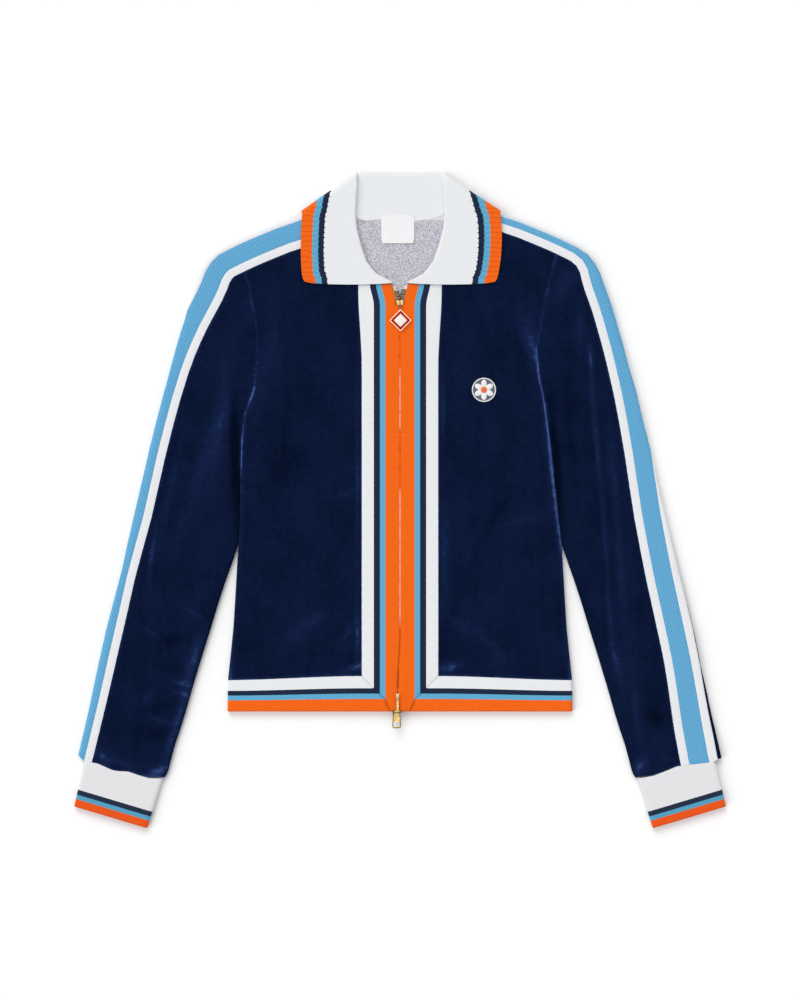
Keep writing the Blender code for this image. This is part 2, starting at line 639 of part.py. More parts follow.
def hem_back(rows=3, columns=10):
    edge = Path([(193.2, HEM_BOTTOM), (192.8, HEM_SEAM_SIDE - SEAM)])
    rim_points, rim_normals = turned_edge(edge, np.linspace(0, edge.length, rows), -1, 1, RIM_COLUMNS)
    share = np.linspace(0, 1, columns)
    y = np.linspace(HEM_BOTTOM, HEM_SEAM_SIDE - SEAM / 2, rows)
    half = np.stack([rim_points[:, :1, 0] * share[None, :], np.repeat(y[:, None], columns, 1)], axis=-1)
    points, normals = joined(level(half[:, :-1], -1), (rim_points, rim_normals))
    points[..., 2] += BAND_LIFT
    mirror = np.array([-1, 1, 1])
    points = np.concatenate([points[:, :0:-1] * mirror, points], axis=1)
    normals = np.concatenate([normals[:, :0:-1] * mirror, normals], axis=1)
    cloth_wall("hem_back", 1, points, normals, KNIT, MATERIALS["white_rib"])


def collar_half():
    """Sections of stand, roll and leaf, from the middle of the back to the zip."""
    keys = np.arange(len(COLLAR), dtype=float)
    at = np.concatenate([np.arange(4), np.linspace(4, 6, 7), np.arange(6.5, len(COLLAR) - 2, 0.75), keys[-2:]])
    read = {name: smooth(at, keys, collar_table(name), steady=True) for name in CollarStation._fields}
    half_turn = (LEAF_REACH - STAND_REACH) / 2
    points, normals = [], []
    for i in range(len(at)):
        seam, rolled, fall = (np.array([read[f"{n}_x"][i], read[f"{n}_y"][i]]) for n in ("seam", "roll", "fall"))
        turn = math.radians(read["turn"][i])
        lift = np.array([*(COLLAR_FOLD * math.cos(turn)), math.sin(turn)])
        ahead = np.array([*unit(rolled - seam), 0])
        centre = np.array([*(rolled - ahead[:2] * (half_turn + KNIT / 2)), COLLAR_MIDDLE])
        base_seam, base_fall = np.array([*seam, COLLAR_MIDDLE]), np.array([*fall, COLLAR_MIDDLE])
        row, tilt = [], []
        for share in np.linspace(0, 1, 4)[:-1]:
            row.append(base_seam + (centre - base_seam) * share + lift * STAND_REACH)
            tilt.append(-lift)
        for bend in np.linspace(0, math.pi, 5):
            away = -math.cos(bend) * lift + math.sin(bend) * ahead
            row.append(centre + lift * (STAND_REACH + half_turn) + away * half_turn)
            tilt.append(away)
        for share in LEAF_SHARES:
            sag = np.array([0, -read["bow"][i] * math.sqrt(4 * share * (1 - share)), 0])
            droop = np.array([0, 0, -LEAF_DROOP * share * max(lift[2], 0)])
            row.append(centre + (base_fall - centre) * share + lift * LEAF_REACH + sag + droop)
            tilt.append(lift)
        points.append(row)
        normals.append(tilt)
    return np.array(points), np.array(normals)


def collar():
    points, normals = collar_half()
    mirror = np.array([-1, 1, 1])
    points = np.concatenate([points[:0:-1] * mirror, points])
    normals = np.concatenate([normals[:0:-1] * mirror, normals])
    cloth_wall("collar", 1, points, normals, KNIT, MATERIALS["white_rib"])


# Zip, label and badge -------------------------------------------------------------


def zip_tape(side):
    y = HEM_BOTTOM + 2 + (BAND_TOP - 1.5 - HEM_BOTTOM - 2) * zip_rows()
    inner = np.maximum(0.4, band_edge(y, 0) - TAPE_SHOWS) + side * zip_lean(y)
    across = np.linspace(0, 1, 3)[None, :]
    x = inner[:, None] + (TAPE_REACH - inner[:, None]) * across
    points = np.stack([x, np.repeat(y[:, None], 3, axis=1), np.full(x.shape, TAPE_TOP - TAPE_THICKNESS / 2)], axis=-1)
    normals = np.zeros_like(points)
    normals[..., 2] = 1
    cloth_wall(f"zip_tape_{side_name(side)}", side, points, normals, TAPE_THICKNESS, MATERIALS["tape"])


def block(name, low, high, finish):
    """A box between two corners."""
    low, high = np.array(low, float) * MM, np.array(high, float) * MM
    shape = bmesh.new()
    bmesh.ops.create_cube(shape, size=1)
    bmesh.ops.scale(shape, vec=high - low, verts=shape.verts)
    bmesh.ops.translate(shape, vec=(low + high) / 2, verts=shape.verts)
    mesh = bpy.data.meshes.new(name)
    shape.to_mesh(mesh)
    shape.free()
    return add_object(name, mesh, finish)


def hidden_tool(made):
    """Keeps a helper out of the finished object."""
    made.hide_render = True
    made.display_type = "WIRE"
    bpy.data.collections["track_jacket"].objects.unlink(made)
    bpy.data.collections["tools"].objects.link(made)
    return made


def combine(base, tool, operation):
    step = base.modifiers.new(operation.lower(), "BOOLEAN")
    step.operation = operation
    step.object = hidden_tool(tool)
    return base


def slider(row, finish):
    """Plate under the bands with an arched bridge that stands up through the slit."""
    left, right = row.x - row.half_width, row.x + row.half_width
    base = block(row.name, (left, row.low, PLATE_BOTTOM), (right, row.high, PLATE_TOP), finish)
    reach, foot = row.eye_half + BRIDGE_WIRE, (PLATE_BOTTOM + PLATE_TOP) / 2
    arch_low = (row.x - BRIDGE_HALF_WIDTH, row.bridge_y - reach, foot)
    arch_high = (row.x + BRIDGE_HALF_WIDTH, row.bridge_y + reach, PULL_AXIS_Z + BRIDGE_RISE)
    combine(base, block(row.name + "_arch", arch_low, arch_high, finish), "UNION")
    if row.crown:
        crown_low = (row.x - row.crown, CROWN["y"][0], foot)
        crown_high = (row.x + row.crown, CROWN["y"][1], CROWN["top"])
        combine(base, block(row.name + "_crown", crown_low, crown_high, finish), "UNION")
    eye_low = (row.x - 2 * BRIDGE_HALF_WIDTH, row.bridge_y - row.eye_half, PULL_AXIS_Z - EYE_BELOW)
    eye_high = (row.x + 2 * BRIDGE_HALF_WIDTH, row.bridge_y + row.eye_half, PULL_AXIS_Z + EYE_ABOVE)
    combine(base, block(row.name + "_window", eye_low, eye_high, finish), "DIFFERENCE")


def ring(name, x, bridge_y, stretch, finish):
    """Loop of wire that passes through the bridge and lies flat."""
    bpy.ops.mesh.primitive_torus_add(
        major_segments=20, minor_segments=8, major_radius=RING_RADIUS * MM, minor_radius=RING_WIRE * MM
    )
    made = bpy.context.active_object
    made.name = made.data.name = name
    for vertex in made.data.vertices:
        vertex.co.x += x * MM
        vertex.co.y += (-RING_RADIUS - stretch * (vertex.co.y < 0)) * MM + bridge_y * MM
        vertex.co.z += PULL_AXIS_Z * MM
    for collection in list(made.users_collection):
        collection.objects.unlink(made)
    bpy.data.collections["track_jacket"].objects.link(made)
    made.data.materials.append(finish)
    return made


def top_pull(finish):
    """Diamond plate on its link."""
    half, depth = DIAMOND["half"] * MM, DIAMOND["thickness"] * MM
    shape = bmesh.new()
    bmesh.ops.create_cone(shape, cap_ends=True, segments=4, radius1=half, radius2=half, depth=depth)
    bmesh.ops.translate(shape, vec=(DIAMOND["x"] * MM, DIAMOND["y"] * MM, PULL_AXIS_Z * MM), verts=shape.verts)
    mesh = bpy.data.meshes.new("top_pull")
    shape.to_mesh(mesh)
    shape.free()
    made = add_object("top_pull", mesh, finish)
    rounded = made.modifiers.new("rounded", "BEVEL")
    rounded.width, rounded.segments = DIAMOND["rounding"] * MM, 2
    combine(made, ring("top_pull_link", 0, TOP_BRIDGE_Y, 3.3, finish), "UNION")


def bottom_pull(finish):
    """Tab with a window, on its eye."""
    (left, right), (low, high), half = TAB["x"], TAB["y"], TAB["half_thickness"]
    made = block("bottom_pull", (left, low, PULL_AXIS_Z - half), (right, high, PULL_AXIS_Z + half), finish)
    middle = (left + right) / 2 * MM
    for vertex in made.data.vertices:
        if vertex.co.y > (low + high) / 2 * MM:
            vertex.co.x = middle + (vertex.co.x - middle) * TAB["top_share"]
    (left, right), (low, high) = TAB_WINDOW["x"], TAB_WINDOW["y"]
    hole = (left, low, PULL_AXIS_Z - 2 * half), (right, high, PULL_AXIS_Z + 2 * half)
    window = block("bottom_pull_window", *hole, finish)
    combine(made, window, "DIFFERENCE")
    combine(made, ring("bottom_pull_eye", ZIP_LEAN, BOTTOM_BRIDGE_Y, 7.0, finish), "UNION")


def neck_label():
    xs = np.linspace(*LABEL["x"], 5)
    ys = np.linspace(*LABEL["y"], 5)
    xy = np.stack(np.meshgrid(xs, ys), axis=-1)
    rest = back_height(xy) + VELOUR / 2 + SEAM + LABEL["thickness"] / 2
    points = with_height(xy, rest)
    normals = np.zeros_like(points)
    normals[..., 2] = 1
    cloth_wall("neck_label", 1, points, normals, LABEL["thickness"], MATERIALS["label"])


def chest_badge(spokes=28):
    """Round patch that lies on the front."""
    shape = bmesh.new()
    bmesh.ops.create_cone(
        shape, cap_ends=True, segments=spokes, radius1=BADGE["radius"], radius2=BADGE["radius"], depth=BADGE["thickness"]
    )
    centre = np.array([BADGE["x"], BADGE["y"]])
    rim = centre + np.array([(v.co.x, v.co.y) for v in shape.verts])
    rest = front_height(rim).max() + VELOUR / 2 + SEAM + BADGE["thickness"] / 2
    bmesh.ops.translate(shape, vec=(*centre, rest), verts=shape.verts)
    bmesh.ops.scale(shape, vec=(MM, MM, MM), verts=shape.verts)
    mesh = bpy.data.meshes.new("chest_badge")
    shape.to_mesh(mesh)
    shape.free()
    add_object("chest_badge", mesh, MATERIALS["badge"])


# The jacket -----------------------------------------------------------------------

for old in list(bpy.data.objects):
    bpy.data.objects.remove(old, do_unlink=True)
for group in ("track_jacket", "tools"):
    bpy.context.scene.collection.children.link(bpy.data.collections.new(group))

MATERIALS = {
    "navy_velour": material("navy_velour", (0.006, 0.012, 0.042), 0.9),
    "white_twill": material("white_twill", (0.80, 0.81, 0.83), 0.8),
    "blue_twill": material("blue_twill", (0.10, 0.38, 0.64), 0.8),
    "white_rib": material("white_rib", (0.82, 0.83, 0.85), 0.85),
    "tape": material("tape", (0.78, 0.75, 0.68), 0.8),
    "gilt": material("gilt", (0.72, 0.48, 0.20), 0.25, 1.0),
    "label": material("label", (0.85, 0.85, 0.86), 0.7),
    "badge": material("badge", (0.75, 0.28, 0.05), 0.8),
}

back_panel()
hem_back()
collar()
for half in (-1, 1):
    front_panel(half)
    stripe(half)
    for layer in (1, -1):
        sleeve_panel(half, layer)
    cuff(half)
    placket(half)
    hem_front(half)
    zip_tape(half)
for row in SLIDERS:
    slider(row, MATERIALS["gilt"])
top_pull(MATERIALS["gilt"])
bottom_pull(MATERIALS["gilt"])
neck_label()
chest_badge()
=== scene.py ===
# %% [markdown]
# # A velour track jacket, laid flat
# The jacket is zipped and lies on a pale floor with its front up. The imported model
# already holds every panel, band and piece of hardware as a closed solid, so each
# cloth piece here starts as a copy of its solid, gets a finer mesh and is then shaped
# the way cloth of its kind lies. Lengths are metres, and the zip runs along x = 0.

# %% Load the solids
import math

import bmesh
import bpy
import numpy as np
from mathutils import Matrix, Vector, kdtree, noise


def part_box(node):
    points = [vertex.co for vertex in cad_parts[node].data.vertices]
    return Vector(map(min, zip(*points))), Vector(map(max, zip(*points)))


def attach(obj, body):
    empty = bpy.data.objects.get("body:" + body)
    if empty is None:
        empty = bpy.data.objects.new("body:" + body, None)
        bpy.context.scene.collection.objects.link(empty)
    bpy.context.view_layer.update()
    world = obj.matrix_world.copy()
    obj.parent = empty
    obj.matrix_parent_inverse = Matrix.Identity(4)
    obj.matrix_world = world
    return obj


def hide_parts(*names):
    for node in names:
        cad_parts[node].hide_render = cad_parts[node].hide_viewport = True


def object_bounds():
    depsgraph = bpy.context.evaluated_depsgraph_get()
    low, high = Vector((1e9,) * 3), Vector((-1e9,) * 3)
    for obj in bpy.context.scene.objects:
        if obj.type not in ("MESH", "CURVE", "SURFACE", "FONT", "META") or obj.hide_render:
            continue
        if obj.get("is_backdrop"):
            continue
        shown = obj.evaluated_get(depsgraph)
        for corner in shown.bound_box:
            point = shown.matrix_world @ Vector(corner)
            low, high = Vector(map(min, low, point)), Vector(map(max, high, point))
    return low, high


MM = 0.001
WAYS = {"left": -1, "right": 1}  # on which side of the zip a piece lies, as the sign of x
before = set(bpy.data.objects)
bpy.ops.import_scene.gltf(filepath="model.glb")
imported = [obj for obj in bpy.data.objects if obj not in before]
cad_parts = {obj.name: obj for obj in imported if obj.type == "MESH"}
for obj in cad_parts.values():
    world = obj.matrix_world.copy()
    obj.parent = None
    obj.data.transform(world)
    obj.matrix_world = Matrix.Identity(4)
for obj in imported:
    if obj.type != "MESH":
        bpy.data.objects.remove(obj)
cad_box = [list(corner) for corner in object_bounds()]

# %% [markdown]
# ## Shader sums that read like sums
# A material is a tree of nodes, and a pattern is mostly arithmetic on a position or a
# distance. The class below wraps one output of a node, so that `1 - mask` or
# `wave * 0.3 + grain` adds the Math nodes by itself. Any other kind of node comes from
# one method, which takes its type, its settings and what goes into its sockets.


# %% A wrapped socket and a growing material
class Wire:
    """An output of a node, ready for sums."""

    def __init__(self, finish, socket):
        self.finish, self.socket = finish, socket

    def math(self, operation, *values):
        return self.finish.node("ShaderNodeMath", {"operation": operation}, values)

    def __add__(self, other):
        return self.math("ADD", self, other)

    def __sub__(self, other):
        return self.math("SUBTRACT", self, other)

    def __rsub__(self, other):
        return self.math("SUBTRACT", other, self)

    def __mul__(self, other):
        return self.math("MULTIPLY", self, other)

    def __pow__(self, other):
        return self.math("POWER", self, other)

    def sine(self):
        return self.math("SINE", self)

    def unsigned(self):
        return self.math("ABSOLUTE", self)

    def above_zero(self):
        return self.math("MAXIMUM", self, 0.0)

    def __lt__(self, other):
        return self.math("LESS_THAN", self, other)

    def __gt__(self, other):
        return self.math("GREATER_THAN", self, other)

    __radd__, __rmul__ = __add__, __mul__


class Finish:
    """A material that grows node by node round one Principled shader."""

    def __init__(self, name, **constants):
        self.material = bpy.data.materials.new(name)
        self.material.use_nodes = True
        self.tree = self.material.node_tree
        self.shader = self.tree.nodes["Principled BSDF"]
        self.set(**constants)

    def plug(self, value, socket):
        if isinstance(value, Wire):
            self.tree.links.new(value.socket, socket)
        else:
            socket.default_value = value

    def node(self, kind, settings=None, inputs=(), output=0):
        made = self.tree.nodes.new(kind)
        for key, value in (settings or {}).items():
            if key == "stops":
                ramp = made.color_ramp
                while len(ramp.elements) < len(value):
                    ramp.elements.new(1.0)
                for element, (place, tint) in zip(ramp.elements, value):
                    element.position = place
                    element.color = tint
            elif key == "interpolation":
                made.color_ramp.interpolation = value
            else:
                setattr(made, key, value)
        for key, value in inputs.items() if isinstance(inputs, dict) else enumerate(inputs):
            self.plug(value, made.inputs[key])
        return Wire(self, made.outputs[output])

    def set(self, **values):
        for key, value in values.items():
            self.plug(value, self.shader.inputs[key.replace("_", " ")])

    def place(self):
        return self.node("ShaderNodeTexCoord", output="Object")

    def split(self, vector):
        first = self.node("ShaderNodeSeparateXYZ", inputs=(vector,))
        outputs = first.socket.node.outputs
        return [Wire(self, outputs[k]) for k in range(3)]

    def attribute(self, name):
        return self.node("ShaderNodeAttribute", {"attribute_name": name}, output="Fac")

    def noise(self, vector, scale, detail=2.0, roughness=0.5):
        inputs = {"Vector": vector, "Scale": scale, "Detail": detail, "Roughness": roughness}
        return self.node("ShaderNodeTexNoise", inputs=inputs)

    def mix(self, share, first, second):
        inputs = {0: share, 6: first, 7: second}
        return self.node("ShaderNodeMix", {"data_type": "RGBA"}, inputs, output=2)

    def bump(self, height, distance, strength=1.0):
        inputs = {"Height": height, "Distance": distance, "Strength": strength}
        self.set(Normal=self.node("ShaderNodeBump", inputs=inputs))


FLOOR_WHITE = 0.9  # the floor reflects this much and looks white, so all else is held against it


def colour(red, green, blue):
    """A colour as it looks beside the white floor, turned into the share of light it reflects."""
    seen = [c / 255 for c in (red, green, blue)]
    return (*(FLOOR_WHITE * (((c + 0.055) / 1.055) ** 2.4 if c > 0.04 else c / 12.92) for c in seen), 1)


BLACK = (0, 0, 0, 1)
NAVY_KNIT, TIP_BLUE, TIP_ORANGE = colour(22, 36, 62), colour(94, 171, 208), colour(245, 102, 12)
WHITE_KNIT = colour(233, 235, 238)
print("tipping colours:", [tuple(round(c, 3) for c in t[:3]) for t in (TIP_ORANGE, TIP_BLUE, NAVY_KNIT)])

# %% [markdown]
# ## Velour
# Velour is a knit with a short cut pile. Seen from straight above it is almost black,
# and it turns blue wherever the pile catches the light: along seams and edges, and in
# soft streaks over its folds. That light is painted into the colour here. One number
# stands for how much light the pile catches: noise of several sizes, a painted highlight
# near each seam and the painted streaks of light and shade add up to it, and a ramp turns
# it into colour. The other side of the cloth is a plain pale knit with slanting rows. Near
# the neck it takes the white of the collar's stand, whose seam would lie there, a little
# darker as painted shade inside the neck.


# %% Navy velour and its knitted back
def velour():
    made = Finish("navy_velour", Roughness=0.9, Specular_IOR_Level=0.03)
    made.set(Sheen_Weight=0.14, Sheen_Roughness=0.3, Sheen_Tint=colour(60, 110, 220))
    place, seam, nap = made.place(), made.attribute("seam"), made.attribute("nap")
    patches = made.noise(place, 22, 3, 0.6)
    strokes = made.node("ShaderNodeMapping", inputs={"Vector": place, "Scale": (1.0, 0.16, 1.0)})
    strokes = made.noise(strokes, 90, 2, 0.6)
    pile, blotch = made.noise(place, 1500, 1, 0.5), made.noise(place, 160, 3, 0.6)
    # painted light: a seam's closeness adds a painted highlight, and the painted streaks add light, and
    # shade where they are below zero
    share = patches * 0.7 + strokes * 0.3 + pile * 0.5 + blotch * 0.5 + seam * 0.8 - 0.60
    share = share + nap * (blotch * 1.2 + 0.4)
    # the ramp runs from the navy of the pile in shade to the pale blue of a painted highlight
    stops = [(0.0, colour(0, 8, 29)), (0.4, colour(18, 33, 71)), (1.0, colour(70, 96, 160))]
    made.set(Base_Color=made.node("ShaderNodeValToRGB", {"stops": stops}, (share * 0.4,)))
    made.bump(pile * 0.5 + strokes * 0.4, 0.0004, 0.5)
    return made.material


STAND_FROM = 0.3128  # y where the white of the collar's stand starts


def velour_back():
    made = Finish("velour_back", Roughness=0.95, Specular_IOR_Level=0.1)
    place = made.place()
    x, y, _ = made.split(place)
    aside = x.unsigned()
    fleck, loops = made.noise(place, 620, 2, 0.6), made.noise(place, 1500, 1, 0.5)
    slant = (y * 2100 + aside * 3000 + fleck * 3.5).sine()
    share = (fleck - 0.5) * 2.4 + (loops - 0.5) * 1.6 + slant * 0.5 + 0.5
    knit = made.mix(share, colour(140, 139, 152), colour(232, 230, 238))
    # above this line the knit is painted the stand's white, a little darker than the collar's as painted
    # shade inside the neck
    stand = ((y - aside * 0.02 + (fleck - 0.5) * 0.006) - STAND_FROM) * 700
    made.set(Base_Color=made.mix(stand.above_zero(), knit, colour(224, 225, 228)))
    made.bump(fleck + loops + slant * 0.3, 0.0005, 0.5)
    return made.material


NAVY, NAVY_BACK = velour(), velour_back()
print("velour finishes:", NAVY.name, NAVY_BACK.name)

# %% [markdown]
# ## A fine mesh from a coarse solid
# A solid from the model has long thin triangles, because a flat place needs few of
# them. Cloth needs points every few millimetres before it can sag or pucker. Splitting
# only the long edges, again and again, gives even triangles without touching the wall's
# rounded edges, whose edges are short already.


# %% Copy a solid and refine it
def only(piece):
    """Selects one piece and makes it the active one."""
    bpy.ops.object.select_all(action="DESELECT")
    piece.select_set(True)
    bpy.context.view_layer.objects.active = piece


def pick(piece, test, kind="EDGE"):
    """Selects the vertices, edges or faces of a piece in edit mode that pass a test."""
    shape = bmesh.from_edit_mesh(piece.data)
    for item in [*shape.faces, *shape.edges, *shape.verts]:
        item.select = False
    items = {"VERT": shape.verts, "EDGE": shape.edges, "FACE": shape.faces}[kind]
    chosen = [item for item in items if test(item)]
    for item in chosen:
        item.select_set(True)
    shape.select_flush_mode()
    bmesh.update_edit_mesh(piece.data)
    return len(chosen)


def cloth_copy(node, longest, rounds=7):
    """A copy of a node with no edge longer than a length, ready to be shaped."""
    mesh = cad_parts[node].data.copy()
    piece = bpy.data.objects.new(node + "_cloth", mesh)
    bpy.context.scene.collection.objects.link(piece)
    only(piece)
    bpy.ops.mesh.customdata_custom_splitnormals_clear()
    bpy.ops.object.mode_set(mode="EDIT")
    bpy.ops.mesh.select_mode(type="VERT")
    bpy.ops.mesh.select_all(action="SELECT")
    bpy.ops.mesh.remove_doubles(threshold=0.00001)
    bpy.ops.mesh.select_mode(type="EDGE")
    for _ in range(rounds):
        if not pick(piece, lambda edge: edge.calc_length() > longest):
            break
        bpy.ops.mesh.subdivide(number_cuts=1)
        bpy.ops.mesh.select_all(action="SELECT")
        bpy.ops.mesh.quads_convert_to_tris(quad_method="SHORTEST_DIAGONAL", ngon_method="BEAUTY")
        bpy.ops.mesh.beautify_fill(angle_limit=math.radians(3))
    bpy.ops.object.mode_set(mode="OBJECT")
    return piece


def points_of(piece):
    found = np.empty(len(piece.data.vertices) * 3)
    piece.data.vertices.foreach_get("co", found)
    return found.reshape(-1, 3)


def set_points(piece, points):
    piece.data.vertices.foreach_set("co", points.ravel())
    piece.data.update()


def normals_of(piece):
    found = np.empty(len(piece.data.vertices) * 3, np.float32)
    piece.data.vertex_normals.foreach_get("vector", found)
    return found.reshape(-1, 3).astype(float)


def attribute(piece, name, values):
    """Writes one number for each point, which the materials can read."""
    made = piece.data.attributes.new(name, "FLOAT", "POINT")
    made.data.foreach_set("value", np.asarray(values, np.float32))


print("helpers for cloth pieces are ready")

# %% [markdown]
# ## Tools for the hard pieces
# The zip's metal and the badge are modelled as by hand: a primitive at its size and
# place, edit mode for insets, extrusions and rounded corners, then modifiers that are
# applied. Small helpers keep each step to one line.


# %% Helpers for metal and patches
def settle(name):
    """Names the newest primitive and puts its place, turn and size into its mesh."""
    piece = bpy.context.active_object
    piece.name = piece.data.name = name
    bpy.ops.object.transform_apply(location=True, rotation=True, scale=True)
    return piece


def block(name, low, high):
    """A box between two corners given in millimetres."""
    low, high = Vector(low) * MM, Vector(high) * MM
    bpy.ops.object.select_all(action="DESELECT")
    bpy.ops.mesh.primitive_cube_add(size=1, location=(low + high) / 2, scale=high - low)
    return settle(name)


def torus(name, place, radius, wire, turn=0.0):
    bpy.ops.object.select_all(action="DESELECT")
    bpy.ops.mesh.primitive_torus_add(
        location=Vector(place) * MM, rotation=(0, turn, 0), major_radius=radius * MM, minor_radius=wire * MM,
        major_segments=32, minor_segments=12,
    )  # fmt: skip
    return settle(name)


def edit(piece, kind, test):
    """Opens a piece in edit mode with the vertices, edges or faces selected that pass a test."""
    if piece.mode != "EDIT":
        only(piece)
        bpy.ops.object.mode_set(mode="EDIT")
    bpy.ops.mesh.select_mode(type=kind)
    return pick(piece, test, kind)


def close(piece):
    bpy.ops.object.mode_set(mode="OBJECT")
    return piece


def round_edges(piece, width, segments=3, angle=35):
    """Rounds every sharp edge with a bevel that is then applied."""
    only(piece)
    bevel = piece.modifiers.new("rounded", "BEVEL")
    bevel.width, bevel.segments, bevel.angle_limit = width * MM, segments, math.radians(angle)
    bpy.ops.object.modifier_apply(modifier=bevel.name)
    return piece


def join(name, pieces):
    """Joins pieces into one mesh with every face's finish kept."""
    bpy.ops.object.select_all(action="DESELECT")
    for piece in pieces:
        piece.select_set(True)
    bpy.context.view_layer.objects.active = pieces[0]
    bpy.ops.object.join()
    pieces[0].name = pieces[0].data.name = name
    return pieces[0]


def field(inset, rise, slot, piece):
    """Insets the selected face, moves it along Z and gives it another finish."""
    bpy.ops.mesh.inset(thickness=inset * MM, depth=0)
    if rise:
        bpy.ops.mesh.extrude_region_move(TRANSFORM_OT_translate={"value": (0, 0, rise * MM)})
    piece.active_material_index = slot
    bpy.ops.object.material_slot_assign()


print("helpers for metal and patches are ready")

# %% [markdown]
# ## How cloth lies
# Three things shape each panel. Where it is sewn to its neighbour it sinks into the
# seam, so its top face dips over the last few millimetres. Away from the seams it has
# slow, shallow waves. And soft ridges stand where the cloth is pulled. A seam is found
# on the solid itself: it is where the top face meets the wall in a sharp edge.


# %% Seams
def seam_lines(piece, up=0.6):
    """Points along the upper rim of a wall, where its top face ends in a sharp edge."""
    shape = bmesh.new()
    shape.from_mesh(piece.data)
    found = []
    for edge in shape.edges:
        if len(edge.link_faces) != 2:
            continue
        first, second = edge.link_faces
        if first.normal.angle(second.normal, 0) > 0.7 and max(first.normal.z, second.normal.z) > up:
            a, b = (v.co for v in edge.verts)
            steps = max(1, int((b - a).length / MM))
            found += [a.lerp(b, k / steps) for k in range(steps + 1)]
    shape.free()
    return found


def distance_to(points, lines):
    tree = kdtree.KDTree(len(lines))
    for i, p in enumerate(lines):
        tree.insert(p, i)
    tree.balance()
    return np.array([tree.find(p)[2] for p in points])


def sink_seams(piece, depth, reach, glow=0.0016):
    """Lowers the top face towards its seams, and marks how close each point is to one: painted highlight on
    velour, painted shade on rib knit.
    """
    points, up = points_of(piece), normals_of(piece)[:, 2]
    top = np.flatnonzero(up > 0.3)
    away = distance_to(points[top], seam_lines(piece))
    points[top, 2] -= depth * np.clip(1 - away / reach, 0, 1) ** 2
    seam = np.zeros(len(points))
    seam[top] = np.clip(1 - away / glow, 0, 1)
    attribute(piece, "seam", seam)
    set_points(piece, points)


def meet_neighbours(piece, amount=0.00013):
    """Moves the upright rims of a wall outwards, so that sewn pieces touch."""
    shape = bmesh.new()
    shape.from_mesh(piece.data)
    pushes = {}
    for face in shape.faces:
        sharp = any(len(e.link_faces) == 2 and e.calc_face_angle() > 0.7 for e in face.edges)
        if sharp and abs(face.normal.z) < 0.5:
            for v in face.verts:
                pushes[v.index] = pushes.get(v.index, Vector()) + face.normal
    shape.verts.ensure_lookup_table()
    for index, push in pushes.items():
        push.z = 0
        if push.length > 0:
            shape.verts[index].co += push.normalized() * amount
    shape.to_mesh(piece.data)
    shape.free()


print("seam helpers are ready")


# %% Waves, ridges and lines
def ease(low, high, value):
    """0 below low, 1 above high and a smooth step between them."""
    share = np.clip((value - low) / (high - low), 0, 1)
    return share * share * (3 - 2 * share)


def waves(points, size, seed):
    """Slow waves of cloth over a plane, between -1 and 1."""
    return np.array([noise.noise(Vector((p[0] / size, p[1] / size, seed))) for p in points])


def ridge(points, x, y, angle, length, width):
    """One soft fold, 1 along its crest and 0 away from it."""
    angle = math.radians(angle)
    dx, dy = points[:, 0] - x * MM, points[:, 1] - y * MM
    along = dx * math.cos(angle) + dy * math.sin(angle)
    across = dy * math.cos(angle) - dx * math.sin(angle)
    return np.exp(-((along / (length * MM)) ** 2) - (across / (width * MM)) ** 2)


def polyline(corners):
    """Points every millimetre along a line through corners given in millimetres."""
    found = []
    for a, b in zip(corners, corners[1:]):
        a, b = np.array(a) * MM, np.array(b) * MM
        count = max(2, int(np.linalg.norm(b - a) / MM))
        found += [a + (b - a) * t for t in np.linspace(0, 1, count, endpoint=False)]
    return np.array(found)


def away_from(line, flat):
    """How far points are from the points of a line, all of them seen from above."""
    return np.linalg.norm(flat[:, None, :] - line[None, :, :], axis=2).min(axis=1)


def smooth_flats(piece, turns):
    """Rounds off the facets of the flat faces and leaves folds and rims alone."""
    normals = normals_of(piece)
    flat = np.abs(normals[:, 2]) > 0.97
    rims = set(np.flatnonzero(distance_to(points_of(piece), seam_lines(piece, -2)) < 0.0008))
    bpy.ops.object.mode_set(mode="EDIT")
    shape = bmesh.from_edit_mesh(piece.data)
    for v in shape.verts:
        v.select = bool(flat[v.index]) and v.index not in rims
    bpy.ops.mesh.select_mode(type="VERT")
    bpy.ops.mesh.vertices_smooth(factor=0.5, repeat=turns, xaxis=False, yaxis=False)
    bpy.ops.object.mode_set(mode="OBJECT")


print("wave helpers are ready")

# %% [markdown]
# ## Dressing a piece
# Each piece gets its finishes and smooth shading, is attached to its body in the frame,
# and its solid is hidden.


def dress(piece, body, node, slot, *finishes):
    """Gives a piece its finishes, soft shading and its place in the frame."""
    piece.data.materials.clear()
    for finish in finishes:
        piece.data.materials.append(finish)
    only(piece)
    bpy.ops.object.shade_smooth_by_angle(angle=math.radians(50))
    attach(piece, body)
    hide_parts(node)
    return piece


# %% [markdown]
# ## Where a sleeve meets its cuff
# The rib pulls the velour together, so the seam between them is not straight: it runs
# in slow waves, the sleeve narrows a little towards it and its inner corner is round.
# Sleeve, stripe and cuff all pass through the same function, so they stay together.

